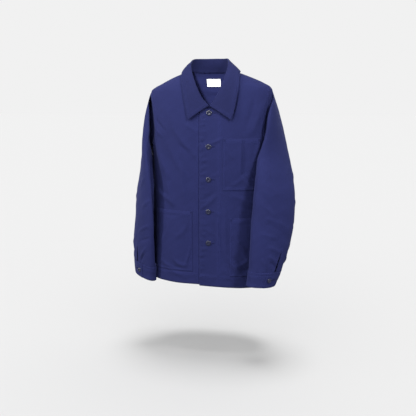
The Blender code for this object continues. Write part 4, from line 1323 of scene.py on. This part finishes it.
across, down = np.meshgrid(np.linspace(-0.5, 0.5, 41), np.linspace(0, 1, 25))
x = LABEL_SIZE[0] * across + LABEL_ASIDE
drops = LABEL_TOP + LABEL_SIZE[1] * down
turns = -turn_at(1, x, drops)
normals = body_normal(1, turns, drops)
sag = LABEL_SAG * np.sin(7 * across + 1.0) * np.sin(np.pi * down)
under = body_point(1, turns, drops, -CLOTH - LABEL_SEAT)
seen = under - (LABEL_CLOTH + sag)[..., None] * normals
far = np.full((*across.shape, 3), NO_ROW)
label = sew("label_cloth", [(seen, under, lengths(seen), far)], label_satin())
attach(label, "root")
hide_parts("label")

# ---------------------------------------------------------------------------------------------
# Stitching. Navy lockstitch, close to the cloth's own colour, in rows along every seam, hem,
# facing and pocket. Short thick bars hold the pocket mouths, and oversewn slits take the buttons.
# ---------------------------------------------------------------------------------------------

THREAD_NAVY = (0.0051, 0.0065, 0.0310)
LOCKSTITCH = {"Pitch": 0.0034, "Length": 0.0026, "Width": 0.00046, "Height": 0.00036}
OVERSEWN = {"Pitch": 0.00055, "Length": 0.00062, "Width": 0.0019, "Height": 0.0003}
BAR, BAR_TOP, BAR_UP = 0.0075, 0.001, 0.0024
BUTTON_FIRST, BUTTON_PITCH, BUTTONS = 0.137, 0.1085, 5
HOLE_REACH = (-0.004, 0.0195)  # of a buttonhole, from its button's middle
HOLE_HALF, HOLE_UP = 0.0011, 0.0003
HOLE_END = (0.0003, 0.0016, 0.0004)  # the bar across its end: askew, half as long, raised
CUFF_BUTTON_ANGLE = 360 + CUFF_LAP / 2
CUFF_HOLE_HALF, CUFF_HOLE_REACH = 0.022, (-3, -26)


def sewing_thread(name, colour):
    made, tree, inputs = new_material(name, {"Roughness": 0.75, "Specular IOR Level": 0.08})
    twist = add_noise(tree, add_node(tree, "ShaderNodeTexCoord", out="Object"), 2600.0, 1.0, 0.5)
    add_shades(tree, twist, (0.3, 0.7), colour, (0.75, 1.2), inputs["Base Color"])
    tree.links.new(add_bump(tree, twist, 0.0001), inputs["Normal"])
    return made


def stitch_tree():
    """Stitches along lines: evenly spaced, each turned with its line and flat on the cloth."""
    tree = bpy.data.node_groups.new("stitches", "GeometryNodeTree")
    tree.interface.new_socket("Geometry", in_out="INPUT", socket_type="NodeSocketGeometry")
    for word in ("Pitch", "Length", "Width", "Height"):
        tree.interface.new_socket(word, in_out="INPUT", socket_type="NodeSocketFloat")
    tree.interface.new_socket("Thread", in_out="INPUT", socket_type="NodeSocketMaterial")
    tree.interface.new_socket("Geometry", in_out="OUTPUT", socket_type="NodeSocketGeometry")
    given = tree.nodes.new("NodeGroupInput").outputs

    def add(kind, settings=None, **sources):
        made = tree.nodes.new(kind)
        for word, value in (settings or {}).items():
            setattr(made, word, value)
        for socket, source in sources.items():
            if isinstance(source, bpy.types.NodeSocket):
                tree.links.new(source, made.inputs[socket])
            else:
                made.inputs[socket].default_value = source
        return made.outputs[0] if made.outputs else made

    turn = "FunctionNodeAlignRotationToVector"
    as_vector, by_length = {"data_type": "FLOAT_VECTOR"}, {"mode": "LENGTH"}
    outward = add("GeometryNodeInputNamedAttribute", as_vector, Name="outward")
    curve = add("GeometryNodeMeshToCurve", Mesh=given["Geometry"])
    spaced = add("GeometryNodeResampleCurve", by_length, Curve=curve, Length=given["Pitch"])
    along = add(turn, {"axis": "X"}, Vector=add("GeometryNodeInputTangent"))
    onto = {"axis": "Z", "pivot_axis": "X"}
    flat = add(turn, onto, Rotation=along, Vector=outward)
    size = add("ShaderNodeCombineXYZ", X=given["Length"], Y=given["Width"], Z=given["Height"])
    bead = add("GeometryNodeMeshIcoSphere", Radius=0.5, Subdivisions=1)
    placed = add(
        "GeometryNodeInstanceOnPoints", Points=spaced, Instance=bead, Rotation=flat, Scale=size
    )
    real = add("GeometryNodeRealizeInstances", Geometry=placed)
    soft = add("GeometryNodeSetShadeSmooth", Geometry=real)
    finished = add("GeometryNodeSetMaterial", Geometry=soft, Material=given["Thread"])
    add("NodeGroupOutput", Geometry=finished)
    return tree


def thread_lines(name, lines, sizes):
    """One mesh of all the stitches along lines of (points, outward vectors)."""
    points, outward = (np.concatenate(runs) for runs in zip(*lines))
    edges, start = [], 0
    for run, _ in lines:
        edges += [(i, i + 1) for i in range(start, start + len(run) - 1)]
        start += len(run)
    mesh = bpy.data.meshes.new(f"{name}_lines")
    mesh.from_pydata(points.tolist(), edges, [])
    held = mesh.attributes.new("outward", "FLOAT_VECTOR", "POINT")
    held.data.foreach_set("vector", outward.astype("f").ravel())
    guide = put(f"{name}_lines", mesh)
    modifier = guide.modifiers.new("stitches", "NODES")
    modifier.node_group = stitches
    sizes = {**sizes, "Thread": navy_thread}
    for socket in stitches.interface.items_tree:
        if socket.in_out == "INPUT" and socket.name in sizes:
            modifier[socket.identifier] = sizes[socket.name]
    bpy.context.view_layer.update()
    evaluated = guide.evaluated_get(bpy.context.evaluated_depsgraph_get())
    piece = put(name, bpy.data.meshes.new_from_object(evaluated))
    bpy.data.objects.remove(guide)
    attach(piece, "root")


def front_line(side, places, lift):
    """A short line on a front, through (x, drop) places."""
    x, drops = spread(places, 12)
    turns = turn_at(side, side * x, drops)
    height = lift + front_lift(side, turns, drops) + front_relief(side, turns, drops)
    return body_point(side, turns, drops, height) + FORWARD, body_normal(side, turns, drops)


def cuff_line(side, places, lift=SEAT):
    """A line on a cuff's band, through (angle, share down) places."""
    around = np.linspace(0, 359, 60)
    angles, shares = spread(places, 8)
    drops = CUFF_TOP[side] + CUFF_DEPTH * shares
    rings = [cuff_face(side, np.append(around, a), d) for a, d in zip(angles, drops)]
    points = np.array([ring[-1] for ring in rings])
    middle = np.array([ring[:-1].mean(axis=0) for ring in rings])
    outward = unit((points - middle) * LEVEL)
    return points + lift * outward, outward


stitches = stitch_tree()
navy_thread = sewing_thread("navy_thread", THREAD_NAVY)
thread_lines("stitching", stitched, LOCKSTITCH)

bars = []
for side, inner, outer, top, bottom, pouch in POCKETS.values():
    for edge, way in ((inner, 1), (outer, -1)):
        x = side * (edge + way * np.mean(TWIN_ROWS))
        bars.append(front_line(side, [(x, top + BAR_TOP), (x, top + BAR_TOP + BAR)], BAR_UP))
for i in range(BUTTONS):
    drop = BUTTON_FIRST + i * BUTTON_PITCH
    start, end = HOLE_REACH
    for row in (-HOLE_HALF, HOLE_HALF):
        bars.append(front_line(1, [(start, drop + row), (end, drop + row)], HOLE_UP))
    askew, half, up = HOLE_END
    bars.append(front_line(1, [(end, drop - half), (end + askew, drop + half)], up))
for side in SIDES:
    for row in (-CUFF_HOLE_HALF, CUFF_HOLE_HALF):
        ends = [(CUFF_BUTTON_ANGLE + at, 0.5 + row) for at in CUFF_HOLE_REACH]
        bars.append(cuff_line(side, ends))
thread_lines("bars", bars, OVERSEWN)

# ---------------------------------------------------------------------------------------------
# Buttons. Dark polished buttons with a raised rim, a dished middle and four holes, each sewn on
# with navy thread that crosses between its holes and makes a short shank below.
# ---------------------------------------------------------------------------------------------

BUTTON_BLUE = (0.0040, 0.0048, 0.0130)
BUTTON_SIZE, CUFF_BUTTON_SIZE = (0.0088, 0.0030), (0.0072, 0.0026)  # radius and height
BUTTON_TURNS, CUFF_BUTTON_TURN = (0.35, 1.1, 0.7, 0.2, 0.95), 0.5
BUTTON_SIDES = 72
THREAD_RADIUS, THREAD_ASIDE = 0.00020, 0.00022
THREAD_CELLS, THREAD_SIDES = 8, 8
THREAD_LOW, THREAD_HIGH = 0.35, 0.62  # as shares of a button's height
SHANK = (0.30, 0.24, 0.0012, -0.0004)  # shares of its radius below and above, depth, middle
HOLE_AT, HOLE_WIDE = 0.19, 0.085  # as shares of the radius
# Shares of the radius and of the height, from the middle of the top round to that of the bottom.
BUTTON_PROFILE = (
    (0.00, 0.70), (0.20, 0.70), (0.32, 0.72), (0.42, 0.79), (0.50, 0.90), (0.57, 0.97),
    (0.64, 1.00), (0.71, 0.99), (0.78, 0.95), (0.85, 0.88), (0.92, 0.77), (0.97, 0.64),
    (1.00, 0.50), (0.98, 0.28), (0.92, 0.11), (0.80, 0.00), (0.00, 0.00),
)


def polished(name, colour):
    made, tree, inputs = new_material(name, {"Specular IOR Level": 0.25, "IOR": 1.5})
    there = add_node(tree, "ShaderNodeTexCoord", out="Object")
    swirl = add_noise(tree, there, 260.0, 4.0, 0.55, 1.6)
    add_shades(tree, swirl, (0.35, 0.75), colour, (0.7, 2.2), inputs["Base Color"])
    scuffs = add_noise(tree, there, 1400.0, 3.0, 0.6)
    rough = add_math(tree, "ADD", add_math(tree, "MULTIPLY", scuffs, 0.14), 0.06)
    tree.links.new(rough, inputs["Roughness"])
    tree.links.new(add_bump(tree, scuffs, 0.00001), inputs["Normal"])
    return made


def add_cone(form, place, sides, bottom, top, depth):
    at = Matrix.Translation(place)
    sizes = {"radius1": bottom, "radius2": top, "depth": depth}
    bmesh.ops.create_cone(form, cap_ends=True, segments=sides, **sizes, matrix=at)


def finished_mesh(form, name):
    bmesh.ops.recalc_face_normals(form, faces=form.faces)
    mesh = bpy.data.meshes.new(name)
    form.to_mesh(mesh)
    form.free()
    return mesh


def in_order(mesh, uncut):
    """The same mesh, sorted, as a cut leaves its points and faces in any order."""
    points = np.array([v.co for v in mesh.vertices])
    rank = np.lexsort(points.T)
    place = np.argsort(rank).tolist()
    old = {tuple(v.co) for v in uncut.vertices}
    new = [tuple(v.co) not in old for v in mesh.vertices]
    faces = []
    for face in mesh.polygons:
        corners = [place[i] for i in face.vertices]
        first = corners.index(min(corners)) if any(new[i] for i in face.vertices) else 0
        faces.append(corners[first:] + corners[:first])
    ordered = bpy.data.meshes.new("ordered")
    ordered.from_pydata(points[rank].tolist(), [], sorted(faces))
    return ordered


def turned_button(radius, height):
    """A button's mesh, lying flat with its back at the origin, with four holes through it."""
    form = bmesh.new()
    points = [form.verts.new((radius * r, 0.0, height * z)) for r, z in BUTTON_PROFILE]
    edges = [form.edges.new(pair) for pair in zip(points, points[1:])]
    turn = {"cent": (0, 0, 0), "axis": (0, 0, 1), "angle": 2 * np.pi, "steps": BUTTON_SIDES}
    bmesh.ops.spin(form, geom=points + edges, **turn)
    bmesh.ops.remove_doubles(form, verts=form.verts, dist=1e-6)
    disc = put("disc", finished_mesh(form, "disc"))
    form = bmesh.new()
    reach, wide = HOLE_AT * radius, HOLE_WIDE * radius
    for x in (-reach, reach):
        for y in (-reach, reach):
            add_cone(form, (x, y, height / 2), 20, wide, wide, 3 * height)
    drill = put("drill", finished_mesh(form, "drill"))
    cut = disc.modifiers.new("holes", "BOOLEAN")
    cut.operation = "DIFFERENCE"
    cut.object = drill
    bpy.context.view_layer.update()
    evaluated = disc.evaluated_get(bpy.context.evaluated_depsgraph_get())
    drilled = in_order(bpy.data.meshes.new_from_object(evaluated), disc.data)
    for helper in (disc, drill):
        bpy.data.objects.remove(helper)
    return drilled


def sew_on(radius, height):
    """Tubes of thread: two crossing bars over the holes, and the shank below."""
    form = bmesh.new()
    reach = HOLE_AT * radius
    low, high = THREAD_LOW * height, THREAD_HIGH * height
    upright = Vector((0, 0, 1))
    for way in (1, -1):
        for aside in (-THREAD_ASIDE, 0, THREAD_ASIDE):
            start, end = Vector((-reach, -reach * way, 0)), Vector((reach, reach * way, 0))
            sideways = (end - start).cross(upright).normalized() * aside
            path = []
            for i in range(THREAD_CELLS + 1):
                rise = (high - low) * np.sin(np.pi * i / THREAD_CELLS) ** 0.3
                level = upright * (low + rise + 0.0001 * (way + 1))
                path.append(start.lerp(end, i / THREAD_CELLS) + sideways + level)
            rings = []
            for i, point in enumerate(path):
                ahead = (path[min(i + 1, THREAD_CELLS)] - path[max(i - 1, 0)]).normalized()
                side_on = ahead.cross(upright).normalized()
                up = side_on.cross(ahead)
                ring = []
                for angle in 2 * np.pi * np.arange(THREAD_SIDES) / THREAD_SIDES:
                    offset = (side_on * np.cos(angle) + up * np.sin(angle)) * THREAD_RADIUS
                    ring.append(form.verts.new(point + offset))
                rings.append(ring)
            for one, other in zip(rings, rings[1:]):
                for k in range(THREAD_SIDES):
                    after = (k + 1) % THREAD_SIDES
                    form.faces.new((one[k], one[after], other[after], other[k]))
            form.faces.new(rings[0][::-1])
            form.faces.new(rings[-1])
    below, above, depth, middle = SHANK
    add_cone(form, (0, 0, middle), 16, below * radius, above * radius, depth)
    return finished_mesh(form, "threads")


def fasten(name, node, disc, threads, point, normal, turn):
    """A button and its thread, set at a point, facing along a vector and turned a little."""
    facing = Vector(normal).to_track_quat("Z", "Y").to_matrix().to_4x4()
    place = Matrix.Translation(Vector(point)) @ facing @ Matrix.Rotation(turn, 4, "Z")
    for mesh, word, material in ((disc, "", button_horn), (threads, "_thread", navy_thread)):
        own = mesh.copy()
        own.name = name + word
        own.transform(place)
        own.materials.clear()
        own.materials.append(material)
        own.shade_smooth()
        own.set_sharp_from_angle(angle=np.radians(40))
        piece = put(name + word, own)
        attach(piece, "root")
        if not word:
            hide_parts(node)


button_horn = polished("button_horn", BUTTON_BLUE)
big, small = (
    (turned_button(*size), sew_on(*size)) for size in (BUTTON_SIZE, CUFF_BUTTON_SIZE)
)
for i, turn in enumerate(BUTTON_TURNS):
    drop = BUTTON_FIRST + i * BUTTON_PITCH
    relief = max(float(front_relief(1, np.array(90.0), np.array(drop))), 0.0)
    point = body_point(1, 90.0, drop, LIFT[1] + SEAT + relief)
    normal = body_normal(1, 90.0, drop)
    fasten(f"front_button_{i + 1}", f"button_{i + 1}", *big, point, normal, turn)
for side, word in SIDES.items():
    points, outward = cuff_line(side, [(CUFF_BUTTON_ANGLE, 0.5)] * 2)
    names = f"cuff_{word}_button", f"cuff_button_{word}"
    fasten(*names, *small, points[0], outward[0], CUFF_BUTTON_TURN)

# ---------------------------------------------------------------------------------------------
# The studio: a wide pale floor under an even white sky, a soft sun whose shadow falls straight
# down, four lamps round the jacket that leave the floor alone, and a small one before the neck
# that lights only the back and the label.
# ---------------------------------------------------------------------------------------------

FLOOR = -0.97
FLOOR_SIZE = 60.0
FLOOR_WHITE = 0.638
SKY = 0.879
OVERHEAD, OVERHEAD_ANGLE, OVERHEAD_LEAN = 1.60, 22.0, 0.12
LAMPS_AIM = (0.0, 0.0, -0.22)
LAMPS = (
    ("left", 100.0, (-2.00, -1.15, 0.66), 0.36, 1.70),
    ("front", 188.0, (-0.90, -2.10, 1.90), 2.20, 2.20),
    ("right", 116.0, (1.72, -1.56, 0.95), 0.36, 1.50),
    ("behind", 56.0, (-0.45, 2.60, -0.10), 0.60, 1.60),
)
NECK_LAMP = (13.0, (-0.020, -0.545, -0.005), (0.0, 0.06, -0.04))
NECK_LAMP_SIZE = 0.04
AZIMUTH, PITCH_DOWN = 9.0, 11.8
DISTANCE, AIM_Z, SIDESTEP = 1.78, -0.097, -0.0158
LENS = 44.57


def studio_floor():
    half = FLOOR_SIZE / 2
    mesh = bpy.data.meshes.new("floor")
    turns = ((-1, -1), (1, -1), (1, 1), (-1, 1))
    corners = [(x * half, y * half, FLOOR) for x, y in turns]
    mesh.from_pydata(corners, [], [(0, 1, 2, 3)])
    white = (FLOOR_WHITE, FLOOR_WHITE, FLOOR_WHITE, 1.0)
    dull = {"Roughness": 1.0, "Specular IOR Level": 0.0, "Base Color": white}
    mesh.materials.append(new_material("floor_paint", dull)[0])
    floor = put("floor", mesh)
    return floor


def lamp(name, kind, power, place, aim, **settings):
    light = bpy.data.lights.new(name, kind)
    light.energy = power
    for word, value in settings.items():
        setattr(light, word, value)
    made = put(name, light)
    made.location = place
    made.rotation_euler = (Vector(aim) - Vector(place)).to_track_quat("-Z", "Y").to_euler()
    return made


floor = studio_floor()
overhead = (0.0, OVERHEAD_LEAN, 1.0)
lamp("overhead", "SUN", OVERHEAD, overhead, (0.0, 0.0, 0.0), angle=np.radians(OVERHEAD_ANGLE))
not_lit = bpy.data.collections.new("not_lit_from_the_sides")
not_lit.objects.link(floor)
for name, power, place, wide, tall in LAMPS:
    shape = {"shape": "RECTANGLE", "size": wide, "size_y": tall}
    light = lamp(name, "AREA", power, place, LAMPS_AIM, **shape)
    light.light_linking.receiver_collection = not_lit
not_lit.collection_objects[0].light_linking.link_state = "EXCLUDE"
inside_neck = bpy.data.collections.new("inside_neck")
for word in ("back_cloth", "label_cloth"):
    inside_neck.objects.link(bpy.data.objects[word])
light = lamp("neck", "AREA", *NECK_LAMP, size=NECK_LAMP_SIZE)
light.light_linking.receiver_collection = inside_neck

world = bpy.data.worlds.new("sky")
world.use_nodes = True
sky = world.node_tree.nodes["Background"].inputs
sky["Color"].default_value = (SKY, SKY, SKY, 1.0)
sky["Strength"].default_value = 1.0
bpy.context.scene.world = world
bpy.context.scene.view_settings.view_transform = "Standard"

turn, down = np.radians(AZIMUTH), np.radians(PITCH_DOWN)
level = Vector((-np.sin(turn), np.cos(turn), 0.0))
rightward = Vector((np.cos(turn), np.sin(turn), 0.0))
camera = put("camera", bpy.data.cameras.new("camera"))
camera.data.lens = LENS
camera.location = -level * DISTANCE + rightward * SIDESTEP + Vector((0.0, 0.0, AIM_Z))
looking = level * np.cos(down) - Vector((0.0, 0.0, np.sin(down)))
camera.rotation_euler = looking.to_track_quat("-Z", "Y").to_euler()
bpy.context.scene.camera = camera
